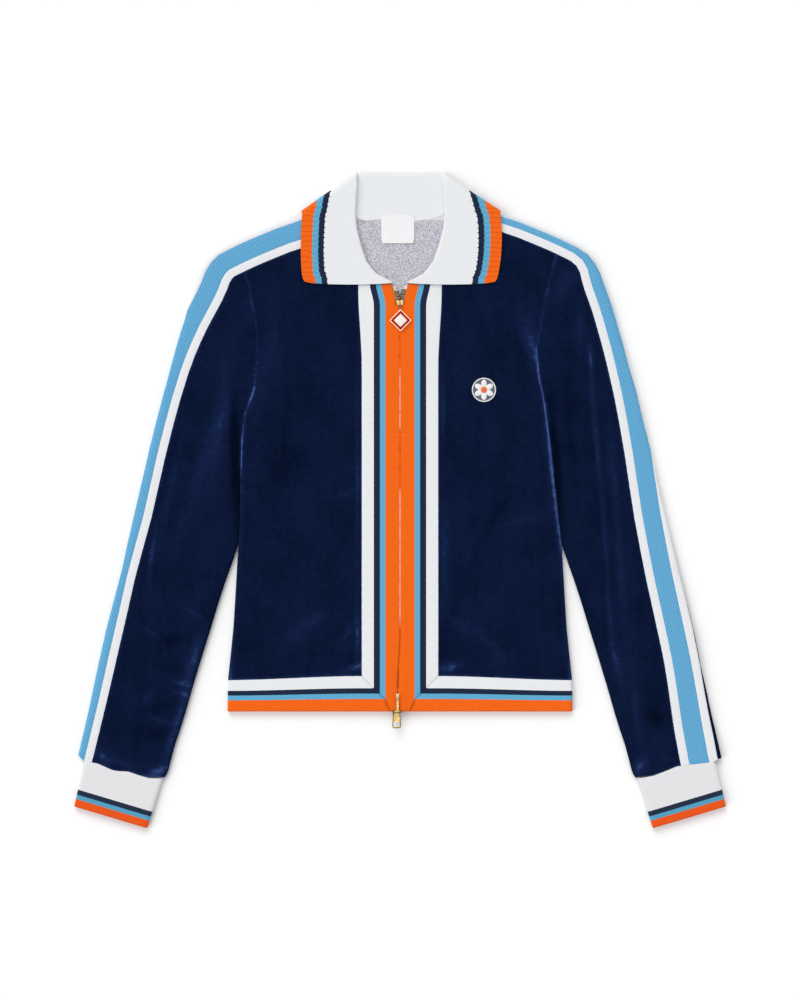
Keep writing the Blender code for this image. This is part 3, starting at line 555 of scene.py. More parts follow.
# %% Cuff seams
CUFF_SEAM = (266, -312.4)  # the inner end of a cuff's seam, mirrored on the left
DOWN_ARM, ACROSS_ARM = np.array([0.26, -0.966]), np.array([0.966, 0.26])
CUFF_WIDTH = 90  # length of the seam across the flat arm
SEAM_WAVES = {  # share of the way from the seam's outer end, and how far down the arm it lies there
    "left": ((0, 0), (0.17, -0.7), (0.37, 2.8), (0.46, 2.1), (0.56, 0.3), (0.72, 1.6), (0.83, 2.1), (1, -1)),
    "right": ((0, 0), (0.11, -0.7), (0.3, -3), (0.45, -4.4), (0.64, -1.7), (0.79, 0), (1, -1)),
}
STRIPE_SHIFTS = {  # how far across the arm, and how far outwards the cloth moves there
    "left": ((0, 0), (80, 0), (92, -0.5), (101, -1.5)),
    "right": ((0, 0), (40, -2), (56, -4.3), (66, -3.8), (86, -2), (96, -1.2), (101, -2.5)),
}
CORNER_LENGTH, CORNER_WIDTH, CORNER_DEPTH = 14, 20, 4.6  # the round inner corner of a sleeve


def cuff_seam(points, node):
    """Moves the cloth near a cuff's seam; the sizes in here are millimetres."""
    side = node.split("_")[-1]
    way = np.array([WAYS[side], 1])
    flat = points[:, :2] * way / MM - CUFF_SEAM
    along, across = flat @ DOWN_ARM, flat @ ACROSS_ARM
    down = np.interp(1 - across / CUFF_WIDTH, *zip(*SEAM_WAVES[side])) * np.exp(-((along / 12) ** 2))
    past = np.exp(-((np.clip(along, 0, None) / 6) ** 2))
    sideways = np.interp(across, *zip(*STRIPE_SHIFTS[side])) * ease(-130, -30, along) * past
    if not node.startswith("cuff"):
        near = np.clip(1 + along / CORNER_LENGTH, 0, 1)
        inner = np.clip(1 - across / CORNER_WIDTH, 0, 1)
        sideways += CORNER_DEPTH * (1 - np.sqrt(1 - near * near)) * inner
    points[:, :2] += (down[:, None] * DOWN_ARM + sideways[:, None] * ACROSS_ARM) * way * MM
    return points


print("cuff seams run in waves of up to", max(abs(d) for s in SEAM_WAVES.values() for _, d in s), "mm")

# %% [markdown]
# ## Body and sleeves
# Two fronts, one back and the two halves of each sleeve are velour. Light and shade lie
# on the pile in soft streaks along its folds, and they are painted into its colour here.
# Noise can't draw those, because they follow the arms and the seams. So each is a soft
# ridge in a table, which lifts the cloth a little and paints light along it, and shade
# where its amount is below zero.

# %% Streaks of painted light and shade
# painted light: each streak lightens the velour's colour, and one with an amount below zero darkens it as
# painted shade; the ridges also lift the cloth
PAINTED_LIGHT_STREAKS = {  # x, y, angle, length and width in millimetres, and how light the pile lies there
    "sleeve_front_left": [
        (-201, 84, 80, 60, 9, 0.5), (-220, 42, 75, 45, 8, 0.35), (-185, 60, 92, 70, 5, -0.6),
        (-277.5, -58, 82, 28, 2.6, 0.8), (-259, 4, 77, 45, 4, 0.35), (-241, -24, 77, 40, 8, 0.25),
        (-222, -107, 60, 20, 9, 0.25), (-231, -126, -25, 12, 2, 0.5), (-280, -147, -35, 12, 2.5, 0.4),
        (-232, -180, 72, 28, 6, 0.8), (-250, -250, 72, 40, 4.5, 0.8), (-270, -303, 20, 14, 6, 0.9),
        (-251, -156, 5, 18, 8, -0.25), (-258, -188, -5, 14, 5, -0.25), (-269, -232, 10, 16, 5, -0.2),
        (-267, -259, 10, 16, 6, -0.25), (-269, -246, -20, 14, 2.2, 0.5), (-244, -205, -15, 12, 3, 0.5),
        (-242, -217, -15, 10, 2.5, 0.4), (-282, -221, 60, 8, 4, 0.3), (-334, -286, -45, 10, 6, 0.6),
        (-314, -293, -20, 20, 5, 0.35), (-160, 225, 60, 40, 9, 0.25),
    ],
    "sleeve_front_right": [
        (213, 160, 92, 18, 2.6, 0.8), (216, 110, 94, 40, 2.6, 0.45), (221, 55, 94, 34, 3, 0.6),
        (229, -37, 94, 50, 2.2, 0.5), (235, -130, 94, 34, 2.6, 0.55), (242, -180, 103, 22, 4, 0.6),
        (240, 20, 95, 46, 4, 0.4), (247, -80, 94, 50, 4, 0.4), (202, 195, 90, 25, 6, 0.4),
        (185, 243, 60, 20, 8, 0.35), (174, 42, 96, 62, 5, -0.6), (264, -235, 96, 40, 4, 0.45),
        (269, -298, 60, 14, 7, 0.7), (190, 80, 95, 50, 6, -0.25), (286, -245, 60, 8, 10, -0.3),
    ],
    "front_left": [
        (-95, -133, 30, 14, 6, 0.45), (-118, -150, 60, 16, 8, 0.3), (-60, 8, 20, 12, 3, 0.4),
        (-52, -188, 20, 14, 4, 0.9), (-47.5, 20, 90, 90, 2, 0.6), (-47.5, -150, 90, 40, 2.5, 0.7),
        (-150, 150, 80, 60, 12, 0.25), (-60, -150, 60, 14, 4, 0.4), (-130, 60, 80, 60, 20, -0.2),
    ],
    "front_right": [
        (150, 169, 110, 36, 8, 0.7), (157, 140, 104, 24, 3, 0.5), (48, 100, 90, 30, 2.5, 0.7),
        (50, -55, 90, 45, 5, 0.5), (56, -187, 10, 12, 5, 1.0), (66, -140, -40, 20, 5, 0.25),
        (100, -160, -45, 40, 6, 0.25), (105, -20, 60, 30, 5, -0.2), (140, -22, 10, 20, 3, 0.25),
        (60, -120, 70, 30, 6, -0.25), (120, -170, 95, 16, 3, -0.2),
    ],
}  # fmt: skip
# painted highlight: a light line is painted into the velour along each of these edges
SIDE_HIGHLIGHT_LINES = {  # where a front stands up a little over its sleeve, so its edge catches the light
    "front_left": [(-163.8, 126), (-175.5, 98), (-177, 88), (-182.6, -52), (-189.8, -202)],
    "front_right": [(150, 180), (155.4, 152), (161, 118), (168, 54), (175, -11), (181, -55), (190.6, -201)],
}  # fmt: skip


def painted_side_highlight(points, corners):
    """A painted highlight: a fine light edge beside a line, and a wide faint one next to it."""
    away = away_from(polyline(corners)[::2], points[:, :2]) / MM
    strong = 0.45 + 0.55 * ease(-0.090, -0.030, points[:, 1])
    strong *= 1 - ease(0.125, 0.175, points[:, 1])
    return strong * (1.3 * np.exp(-((away / 1.5) ** 2)) + 0.45 * np.exp(-((away / 4.5) ** 2)))


print(sum(len(drawn) for drawn in PAINTED_LIGHT_STREAKS.values()), "strokes on", len(PAINTED_LIGHT_STREAKS), "panels")

# %% [markdown]
# ## The panels
# Only the panels on top get the painted streaks of light and shade, and waves. The
# knitted back of the cloth shows through the neck alone, so the three body panels have it
# on the faces that look into the jacket. The sleeves are closed all round and keep the
# pile's finish, because a pale inside would glint through their seams.

# %% Velour panels
BODY_PANELS = ("front_left", "front_right", "back")
SLEEVE_HALVES = ("sleeve_front_left", "sleeve_front_right", "sleeve_back_left", "sleeve_back_right")
KNIT_HALF_WIDTH = 0.15  # the knitted back is given to faces within this distance of the zip
for node in (*BODY_PANELS, *SLEEVE_HALVES):
    upper = node.startswith(("front", "sleeve_front"))
    piece = cloth_copy(node, 0.0045 if upper else 0.008)
    smooth_flats(piece, 8 if upper else 2)
    if node.startswith("sleeve"):
        set_points(piece, cuff_seam(points_of(piece), node))
    meet_neighbours(piece, 0.0002)
    if upper:
        points = points_of(piece)
        # painted light and shade along the streaks, which also set how far the cloth is lifted; a front's
        # side edge adds a painted highlight
        nap = sum(light * ridge(points, *place) for *place, light in PAINTED_LIGHT_STREAKS[node])
        lift = 0.2 * waves(points, 0.035, 3.0) + 0.24 * waves(points, 0.09, 7.0) + 0.4 * nap
        if node in SIDE_HIGHLIGHT_LINES:
            nap += painted_side_highlight(points, SIDE_HIGHLIGHT_LINES[node])
        attribute(piece, "nap", nap)
        points[:, 2] += lift * MM
        set_points(piece, points)
        sink_seams(piece, 0.0007, 0.005)
    finishes = (NAVY, NAVY_BACK) if node in BODY_PANELS else (NAVY,)
    dress(piece, "garment", node, "navy_velour", *finishes)
    for face in piece.data.polygons:
        inside = face.normal.z < -0.5 if upper else face.normal.z > 0.5
        knitted = node in BODY_PANELS and inside and abs(face.center.x) < KNIT_HALF_WIDTH
        face.material_index = int(knitted)
    print(node, len(piece.data.polygons), "faces")

# %% [markdown]
# ## The stripe
# Three strips of tape lie side by side from the neck over the shoulder to the cuff: a
# broad light blue one between two narrow white ones. The tape is a fine twill, whose
# rows and ends both run aslant. Each is a sine of a sum of x and y, and noise breaks
# the lines up as yarns do.


# %% Twill tape
def twill(name, dark, light):
    made = Finish(name, Roughness=0.85, Specular_IOR_Level=0.2, Sheen_Weight=0.1)
    place = made.place()
    x, y, _ = made.split(place)
    wobble = made.noise(place, 160, 2, 0.5) * 5.0
    rows = (x * 1900 + y * 1100 + wobble).sine()
    ends = (x * 1500 - y * 1700 - wobble).sine()
    grain = made.noise(place, 700, 2, 0.6)
    weave = rows * 0.22 + ends * 0.14 + grain * 0.9
    made.set(Base_Color=made.mix(weave, dark, light))
    made.bump(rows * 0.5 + ends * 0.3 + grain, 0.0003, 0.5)
    return made.material


TWILLS = {
    "blue_twill": twill("blue_twill", colour(72, 148, 196), colour(116, 184, 220)),
    "white_twill": twill("white_twill", colour(222, 224, 229), colour(240, 241, 244)),
}
STRIPS = {"front_white": "white_twill", "blue": "blue_twill", "back_white": "white_twill"}
for side in WAYS:
    for strip, slot in STRIPS.items():
        node = f"strap_{strip}_{side}"
        piece = cloth_copy(node, 0.006)
        set_points(piece, cuff_seam(points_of(piece), node))
        meet_neighbours(piece)
        sink_seams(piece, 0.0004, 0.0025)
        dress(piece, "garment", node, slot, TWILLS[slot])
print("stripe:", len(WAYS) * len(STRIPS), "strips of twill tape")

# %% [markdown]
# ## Rib knit with coloured edges
# Collar, zip bands, hem and cuffs are knitted in one piece with their colours: orange
# at the edge, then light blue, navy and a broad white part. So the colour follows the
# distance from the edge of the band, and not a place in space. Each band gets two
# numbers at every point: how far across the band it is, and how far along. A ramp with
# hard steps turns the first into colour, and the second draws the ribs. Small tucks,
# where the rib pulls together, bend the colour's edge, and painted shade draws them as
# thin dark lines. The knit is also darker along its seams and edges, partly the dark line
# of a joint and partly painted shade. The zip bands have a row of stitches and a line
# where they meet, and two more numbers say where that line is: pale where the tape glints
# through, and painted shade elsewhere.


# %% Rib knit
TUCK_PITCH = 0.0056  # the rib pulls together a little at about every fifth row
TIPS = (TIP_ORANGE, TIP_BLUE, NAVY_KNIT, WHITE_KNIT)
TAPE_GLINT = colour(246, 214, 198)
NO_STITCHES = -1.0


def rib(name, blue_from, navy_from, white_from, pitch, tuck, tips=TIPS, sewn=NO_STITCHES):
    """Rib knit; its colours and its row of stitches lie at shares of the band's width."""
    made = Finish(name, Roughness=0.9, Specular_IOR_Level=0.15, Sheen_Weight=0.12)
    across, along, place = made.attribute("across"), made.attribute("along"), made.place()
    seam = made.attribute("seam")
    fuzz, blotch = made.noise(place, 900, 2, 0.6), made.noise(place, 420, 3, 0.6)
    drift = made.noise(place, 45, 1, 0.5)
    wales = (along * (2 * math.pi / pitch) + (fuzz - 0.5) * 1.5).sine()
    line = ((along * (2 * math.pi / TUCK_PITCH) + drift * 9.0).sine() * 0.5 + 0.5) ** 10
    ragged = across + (fuzz - 0.5) * 0.012 - line * tuck * 0.024
    stops = [(0.0, tips[0]), (blue_from, tips[1]), (navy_from, tips[2]), (white_from, tips[3])]
    tip = made.node("ShaderNodeValToRGB", {"stops": stops, "interpolation": "CONSTANT"}, (ragged,))
    tipped = ragged < white_from
    mottle = (blotch - 0.5) * (tipped * 0.16 + 0.08) + wales * 0.005 + 0.03
    row = (across - sewn).unsigned() < 0.009
    stitches = row * ((along * 2600 + fuzz * 3.0).sine() > -0.3)
    near_zip = (1 - made.attribute("beside_zip").unsigned() * 1.3).above_zero()
    slit = made.attribute("slit") * near_zip
    tip = made.mix(slit.above_zero(), tip, TAPE_GLINT)
    # painted shade: thin dark lines in the tucks, a darker knit along seams and edges, partly a joint's dark
    # line, and a dark line where the zip bands meet
    shade = mottle + stitches * 0.1 + line * tuck * tipped * 0.24
    shade = shade + seam**3 * (tipped * 0.38 + 0.08) + (0 - slit).above_zero() * 0.22
    made.set(Base_Color=made.mix(shade, tip, BLACK))
    made.bump(wales * 0.1 + fuzz * 0.5 - line * tuck * (tipped * 0.9 + 0.05), 0.0004, 0.5)
    return made.material


def band(node, longest, across, along, finish, sink=0.0004, shape=None):
    """Copies a band's solid, shapes it and writes its two numbers."""
    piece = cloth_copy(node, longest)
    points = points_of(piece)
    if shape:
        points = shape(points)
        set_points(piece, points)
    attribute(piece, "across", across(points))
    attribute(piece, "along", along(points))
    meet_neighbours(piece)
    if sink:
        sink_seams(piece, sink, 0.003, 0.0009)
    return dress(piece, "garment", node, "white_rib", finish)


print("rib knit is ready")

# %% [markdown]
# ## Zip bands and hem
# The two bands meet over the closed zip, so their solids are drawn together until only
# a line is left, and the line leans a little to the left at its foot. At the foot and
# at the neck the bands stay apart, because the sliders stand up between them there. The
# hem is the same knit with its colours at the lower edge. Its seam falls a little
# towards the sides, so the share of its width is worked out with that.

# %% Zip bands
PLACKET = rib("zip_band_rib", 0.381, 0.526, 0.684, 0.0017, 0.12, sewn=0.17)
BAND_WIDTH = 0.0426
ZIP_LEAN, LEANS_OVER = -2.6, (-0.205, -0.150)  # millimetres to the left, and over which y in metres
SLIT_HALVES = (  # how high up the jacket, and half the gap between the solids of the bands there, in mm
    (-236, 0.6), (-229, 0.8), (-225, 1.2), (-212, 1.2), (-205, 0.4),
    (205, 0.4), (213, 0.9), (217, 3.3), (220, 3.9), (226, 4.3), (244, 8.8),
)  # fmt: skip
DRAWN_IN = 0.006  # how far from the slit a band still gives way
LINE_SHOWS = (-0.214, 0.205)  # between these y a line is painted where the bands meet


def zip_lean(y):
    return ZIP_LEAN * MM * (1 - ease(*LEANS_OVER, y))


def band_share(points):
    """0 at the zip and 1 at the velour; towards the neck the bands stand apart."""
    return (np.abs(points[:, 0]) - 0.0046 * ease(0.218, 0.244, points[:, 1])) / BAND_WIDTH


def shut(points):
    """Brings the two edges together where the zip is closed, and apart over the lower slider."""
    x, y = points[:, 0], points[:, 1]
    off = x - zip_lean(y)
    closed = ease(-0.2165, -0.2145, y) * (1 - ease(0.2165, 0.2185, y))
    gap = np.interp(y / MM, *zip(*SLIT_HALVES)) * MM
    wider = 0.0009 * ease(-0.2275, -0.2245, y) * (1 - closed)
    gives = np.clip(1 - (np.abs(off) - gap) / DRAWN_IN, 0, 1)
    points[:, 0] += np.sign(off) * (wider - (gap - 0.00001) * closed) * gives
    return points


def glint(y):
    """1 in the two stretches where the pale tape glints through the line, and 0 elsewhere."""
    lower = ease(-0.150, -0.135, y) * (1 - ease(0.008, 0.020, y))
    upper = ease(0.070, 0.085, y) * (1 - ease(0.140, 0.158, y))
    return lower + upper


for side in WAYS:
    piece = band(f"placket_{side}", 0.005, band_share, lambda p: p[:, 1], PLACKET, shape=shut)
    x, y = points_of(piece)[:, 0], points_of(piece)[:, 1]
    attribute(piece, "beside_zip", (x - zip_lean(y)) / MM)
    # the line where the bands meet: the tape's pale colour in two stretches, painted shade elsewhere
    attribute(piece, "slit", (2 * glint(y) - 1) * (y > LINE_SHOWS[0]) * (y < LINE_SHOWS[1]))
print("zip bands are knitted")

# %% Hem
HEM = rib("hem_rib", 0.348, 0.503, 0.655, 0.0017, 0.12)
HEM_BOTTOM, HEM_HEIGHT, HEM_FALL = -0.236, 0.0394, 0.0044


def hem_share(points):
    """0 at the lower edge and 1 at the seam, which falls a little towards the sides."""
    fall = HEM_FALL * ease(BAND_WIDTH, BAND_WIDTH + 0.150, np.abs(points[:, 0]))
    return (points[:, 1] - HEM_BOTTOM) / (HEM_HEIGHT - fall)


for node in ("hem_front_left", "hem_front_right", "hem_back"):
    band(node, 0.005, hem_share, lambda p: p[:, 0], HEM)
print("hem is knitted")

# %% [markdown]
# ## Cuffs
# A cuff is a flattened tube of the same rib. Its ribs run down the arm, so `along` is
# measured across the arm, from the inner end of the cuff's lower edge.

# %% Cuffs
CUFF_TIPS = (colour(234, 86, 18), colour(82, 159, 195), colour(30, 43, 66), colour(228, 228, 231))
CUFF = rib("cuff_rib", 0.163, 0.257, 0.366, 0.0016, 0.12, CUFF_TIPS)
CUFF_OUTER, CUFF_INNER = np.array([0.365, -0.3422]), np.array([0.283, -0.3667])  # ends of the lower edge
CUFF_LENGTH = 0.0524
LOWER_EDGE = (CUFF_OUTER - CUFF_INNER) / np.linalg.norm(CUFF_OUTER - CUFF_INNER)
UP_CUFF = np.array([-LOWER_EDGE[1], LOWER_EDGE[0]])


def from_inner_end(points):
    """Places on either cuff, counted from the inner end of its lower edge."""
    return np.column_stack([np.abs(points[:, 0]), points[:, 1]]) - CUFF_INNER


def from_lower_edge(points):
    return from_inner_end(points) @ UP_CUFF / CUFF_LENGTH


def across_arm(points):
    return from_inner_end(points) @ LOWER_EDGE


for side in WAYS:
    node = f"cuff_{side}"
    band(node, 0.004, from_lower_edge, across_arm, CUFF, shape=lambda p: cuff_seam(p, node))
print("cuffs are knitted")

# %% [markdown]
# ## Collar
# The collar folds over at the top, and its fall edge carries the colours. The front and
# the back of the leaf have an edge each, and a point's height tells which of the two it
# belongs to. The stand inside the neck is far from both, so it comes out white.

# %% Colours of the collar
COLLAR = rib("collar_rib", 0.246, 0.380, 0.504, 0.0018, 1.0)
FRONT_FALL = [  # the coloured edge on the front of the right half, run on straight past the fold
    (106.2, 245), (107.8, 248.4), (108.8, 254.5), (109.4, 264), (109.8, 277), (109.4, 292),
    (108.4, 307), (107.4, 319), (105.6, 336), (103, 350), (100, 368),
]  # fmt: skip
BACK_FALL = [(112, 325), (107, 321), (84, 300), (56, 287), (28, 283), (0, 283)]
LEAF_WIDTH = 0.05  # the colours of the collar start at shares of this


def from_fall(points):
    """Distance from the coloured edge of the front or the back leaf, as a share."""
    flat = np.abs(points[:, :1]) * (1, 0) + points[:, 1:2] * (0, 1)
    front, back = (away_from(polyline(fall)[::3], flat) for fall in (FRONT_FALL, BACK_FALL))
    share = ease(0.002, 0.0045, points[:, 2])
    return (back + (front - back) * share) / LEAF_WIDTH


print("the collar's edge runs through", len(FRONT_FALL) + len(BACK_FALL), "corners")

# %% [markdown]
# ## How the collar lies
# Knit gives: the stand sinks towards the label, the fold rises in the middle and goes
# round softly at its two corners, and the leaf spreads. The lower inner tips reach
# towards the zip. Each of these is one small move of the points near one place.

# %% Shape of the collar
CORNERS = [(-0.047, 0.3665), (0.047, 0.3665)]  # where the fold turns from the stand to the leaf
STAND_LOW, STAND_HIGH = 0.0021, 0.0046  # between these z lies the stand, with the front leaf above it
TIP_REACH = 6.5  # how far the inner tips are drawn in, in millimetres


def soften_corners(piece, turns=6, reach=0.011):
    """Rounds off the peaks of the fold at its two corners."""
    points = points_of(piece)
    near = np.minimum(*(np.hypot(points[:, 0] - x, points[:, 1] - y) for x, y in CORNERS)) < reach
    edit(piece, "VERT", lambda v: near[v.index])
    bpy.ops.mesh.vertices_smooth(factor=0.5, repeat=turns)
    close(piece)


def lower_stand(points):
    """Brings the stand's seam down to the label, a little further on the right, and lifts the fold."""
    x, y = points[:, 0], points[:, 1]
    right = ease(0.0, 0.012, x)
    middle, edge = 5.6 + 1.8 * right, 8.6 - 3.6 * right
    amount = middle + (edge - middle) * ease(0.018, 0.045, np.abs(x))
    stand = (points[:, 2] < STAND_HIGH) & (points[:, 2] > STAND_LOW)
    points[:, 1] -= stand * amount * MM * (1 - ease(0.322, 0.345, y)) * (1 - ease(0.046, 0.056, np.abs(x)))
    points[:, 1] += 1.2 * MM * ease(0.350, 0.365, y) * (1 - ease(0.046, 0.058, np.abs(x)))
    return points


WIDER = {  # y in millimetres, and how much further out the leaf lies on the left and on the right
    "y": (245, 258, 270, 290, 306, 318, 327, 345),
    "left": (0.6, 1.0, 1.0, 1.2, 1.6, 2.0, 0.3, 0.0),
    "right": (0.3, 1.5, 2.8, 4.2, 5.0, 4.9, 2.4, 0.0),
}


def widen_leaf(piece):
    """Lets the leaf lie wider, on the right more than on the left."""
    points = points_of(piece)
    x, y = points[:, 0], points[:, 1] / MM
    left, right = (np.interp(y, WIDER["y"], WIDER[side]) for side in WAYS)
    out = np.where(x > 0, right, -left)
    points[:, 0] += out * MM * ease(0.052, 0.090, np.abs(x))
    set_points(piece, points)


def draw_tips(piece):
    """Draws the lower inner tips of the two leaves towards the zip."""
    points = points_of(piece)
    x, y = points[:, 0], points[:, 1]
    amount = (1 - ease(0.242, 0.258, y)) * (1 - ease(0.012, 0.034, np.abs(x)))
    points[:, 0] -= np.sign(x) * TIP_REACH * MM * amount * (points[:, 2] > STAND_HIGH)
    set_points(piece, points)


collar = band("collar", 0.0035, from_fall, lambda p: p[:, 1], COLLAR, sink=0, shape=lower_stand)
soften_corners(collar)
widen_leaf(collar)
draw_tips(collar)
print("collar is knitted")

# %% [markdown]
# ## Gilt and enamel
# The zip's metal is brass with a thin pale gold plating. Small bright spots are painted
# into its colour as highlights, and it is a little duller where fingers touch it. Every
# face that looks sideways or down gets a darker metal of its own, painted shade, and so
# do the flange and the tab's rim. The bridges, rings, cheeks and the diamond get a paler
# one, a painted highlight. The enamel of the pull is smooth glass under a clear coat. One
# function makes all the metals and one makes both enamels, from a dark and a light colour
# each.


# %% Metal and enamel finishes
def gilt(name, dark, light):
    made = Finish(name, Metallic=1.0, Specular_IOR_Level=0.5)
    place = made.place()
    smudge_and_glint, grain = made.noise(place, 520, 3, 0.6), made.noise(place, 2400, 2, 0.5)
    # painted highlights: the noise paints small bright spots into the colour, and the same noise dulls the
    # plating in places
    share = smudge_and_glint * 2.0 + grain * 0.5 - 0.85
    made.set(Base_Color=made.mix(share, dark, light))
    made.set(Roughness=smudge_and_glint * 0.2 + 0.2)
    made.bump(smudge_and_glint + grain * 0.3, 0.0002, 0.35)
    return made.material


def enamel(name, dark, light, gloss=0.2):
    made = Finish(name, Specular_IOR_Level=gloss, Coat_Weight=gloss, Coat_Roughness=0.1)
    place = made.place()
    cloud, speck = made.noise(place, 380, 2, 0.5), made.noise(place, 1800, 2, 0.5)
    made.set(Base_Color=made.mix(cloud * 0.8 + speck * 0.4 - 0.1, dark, light))
    made.set(Roughness=cloud * 0.15 + 0.2)
    made.bump(cloud, 0.00015, 0.3)
    return made.material


GILT = gilt("gilt", colour(168, 128, 62), colour(250, 226, 164))
# a paler gilt as a painted highlight
GILT_HIGHLIT = gilt("gilt_painted_highlight", colour(222, 190, 140), colour(254, 240, 208))
# a darker gilt as painted shade on flanks, the flange and the tab
GILT_SHADE = gilt("gilt_painted_shade", colour(70, 50, 24), colour(150, 112, 58))
# a dark brass as painted shade on the teeth
BRASS_SHADE = gilt("brass_painted_shade", colour(44, 30, 14), colour(112, 80, 42))
RED_ENAMEL = enamel("red_enamel", colour(152, 0, 14), colour(188, 2, 22), gloss=0.06)
WHITE_ENAMEL = enamel("white_enamel", colour(232, 226, 214), colour(248, 244, 236))
print("metal:", GILT.name, "enamel:", RED_ENAMEL.name, WHITE_ENAMEL.name)


# %% Metal pieces
def coat(pieces, *finishes):
    """Gives each piece its finishes; the first one covers it."""
    for piece in pieces:
        for finish in finishes:
            piece.data.materials.append(finish)


def metal(piece, body, *nodes):
    """Gilt with painted shade on its flanks, soft shading and the place in the frame."""
    only(piece)
    coat([piece], GILT_SHADE)
    # painted shade: faces of plain gilt that look sideways or down take the darker gilt
    for face in piece.data.polygons:
        if piece.data.materials[face.material_index] == GILT and face.normal.z < 0.5:
            face.material_index = len(piece.data.materials) - 1
    bpy.ops.object.shade_smooth_by_angle(angle=math.radians(40))
    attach(piece, body)
    if nodes:
        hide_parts(*nodes)
    return piece


print("metal helper is ready")

# %% [markdown]
# ## Zip tapes and teeth
# Each tape is a narrow woven strip that shows beside the teeth only where the zip is
# open. A metal tooth is clamped over the tape's cord: a small block that narrows towards
# its head, painted dark as the shade between the teeth, with a raised field of bright
# gilt on top. An inset of the top face draws that field. One tooth is modelled, and every
# other is a copy of its mesh, moved up the tape by the pitch. The teeth of the two sides
# stand half a pitch apart, and above the upper slider the two rows part with the tapes.


# %% Tape weave
def woven(name, dark, light, pitch):
    """A fine plain weave of thread that runs up and across."""
    made = Finish(name, Roughness=0.85, Specular_IOR_Level=0.2, Sheen_Weight=0.1)
    place = made.place()
    x, y, _ = made.split(place)
    wobble, grain = made.noise(place, 300, 2, 0.5), made.noise(place, 1100, 2, 0.6)
    turns = 2 * math.pi / pitch
    warp, weft = (x * turns + wobble * 1.5).sine(), (y * turns - wobble * 1.5).sine()
    made.set(Base_Color=made.mix(warp * weft * 0.3 + grain * 0.9, dark, light))
    made.bump(warp * weft * 0.6 + grain, 0.0002, 0.5)
    return made.material


TAPE = woven("tape_weave", colour(236, 228, 218), colour(253, 250, 245), 0.0011)
for side in WAYS:
    tape = cloth_copy(f"zip_tape_{side}", 0.005)
    dress(tape, "garment", f"zip_tape_{side}", "tape", TAPE)
print("tapes are woven")

# %% One tooth
TOOTH_TAIL, TOOTH_HEAD = -3.0, 1.6  # from the tape's cord to a little past the middle of the zip
TOOTH_WIDTH, TOOTH_LOW, TOOTH_HIGH = 2.9, 2.2, 4.6


def one_tooth():
    """A tooth whose head points along +X, at the middle of the zip."""
    half = TOOTH_WIDTH / 2
    tooth = block("tooth", (TOOTH_TAIL, -half, TOOTH_LOW), (TOOTH_HEAD, half, TOOTH_HIGH))
    edit(tooth, "FACE", lambda face: face.normal.x > 0.9)
    bpy.ops.transform.resize(value=(1, 0.62, 0.8))
    edit(tooth, "FACE", lambda face: face.normal.z > 0.9)
    # the tooth is painted dark as the shade between the teeth, and its raised field is plain gilt
    coat([tooth], BRASS_SHADE, GILT)
    field(1.0, 0.2, 1, tooth)
    return round_edges(close(tooth), 0.3, 3)


pattern = one_tooth()
print("one tooth:", len(pattern.data.polygons), "faces")

# %% All the teeth
TOOTH_PITCH, TEETH_FROM, TEETH_TO = 3.6, -231.0, 238.0
TEETH_PART = 3.4  # the rows part where half the gap between the bands is more than this
count = int((TEETH_TO - TEETH_FROM) / TOOTH_PITCH)
for side, way in WAYS.items():
    row = []
    for k in range(count):
        y = TEETH_FROM + TOOTH_PITCH * (k + 0.5 * (way > 0))
        edge = max(0.0, np.interp(y, *zip(*SLIT_HALVES)) - TEETH_PART)
        copied = bpy.data.objects.new("tooth", pattern.data.copy())
        bpy.context.scene.collection.objects.link(copied)
        points = points_of(copied)
        points[:, 0] = points[:, 0] * -way + way * edge * MM + zip_lean(y * MM)
        points[:, 1] += y * MM
        set_points(copied, points)
        if way > 0:
            copied.data.flip_normals()
        row.append(copied)
    teeth = join(f"zip_teeth_{side}", row)
    metal(teeth, "garment")
bpy.data.objects.remove(pattern)
print(count, "teeth on each side")

# %% [markdown]
# ## Upper slider
# A slider is two plates round the teeth, held apart by a post, with a bridge on top that
# carries the pull. Here the upper plate has two round shoulders, where the two rows of
# teeth go in, and narrows towards the hem, where they come out closed. Each part is a
# block shaped on its own. That is simpler than cutting the slider from one piece, and
# the parts overlap, so no joint shows.

# %% Upper slider
AXIS_Z, TOP_BRIDGE, BOTTOM_BRIDGE = 7.7, 220.0, -219.5  # the pulls turn about these lines
BRIDGE_RADIUS = 1.85
plate = round_edges(block("plate", (-4.6, 218.2, 3.1), (4.6, 224.5, 3.9)), 0.3)
post = block("post", (-1.4, 218.5, 3.6), (1.4, 224, 6.0))
body = block("body", (-4.1, 218.4, 4.4), (4.1, 221.8, 6.6))
edit(body, "FACE", lambda face: face.normal.y < -0.9)
bpy.ops.transform.resize(value=(0.82, 1, 0.8))
round_edges(close(body), 0.5, 4)
shoulders = []
for way in WAYS.values():
    inner, outer = sorted((way * 0.4, way * 4.3))
    shoulder = block("shoulder", (inner, 219.5, 4.4), (outer, 224.6, 6.8))
    shoulders.append(round_edges(shoulder, 0.9, 5))
bridge = torus("bridge", (0, TOP_BRIDGE, AXIS_Z), BRIDGE_RADIUS, 0.45, math.pi / 2)
coat((plate, post, body, *shoulders), GILT)
# the bridge is the pale gilt of a painted highlight
coat([bridge], GILT_HIGHLIT)
slider = join("top_slider_metal", [plate, post, body, *shoulders, bridge])
metal(slider, "garment", "top_slider")
print("upper slider:", len(slider.data.polygons), "faces")

# %% [markdown]
# ## Rings and upright edges
# Each pull hangs on its bridge by a ring, and turns about the line where the two meet,
# so the upper wire of the ring lies just there. A real ring is bent from wire; a torus
# is that shape already, and drawing its lower half down makes it the long link that it
# is. The corners of both pulls are rounded by their upright edges, so a second helper
# finds those.


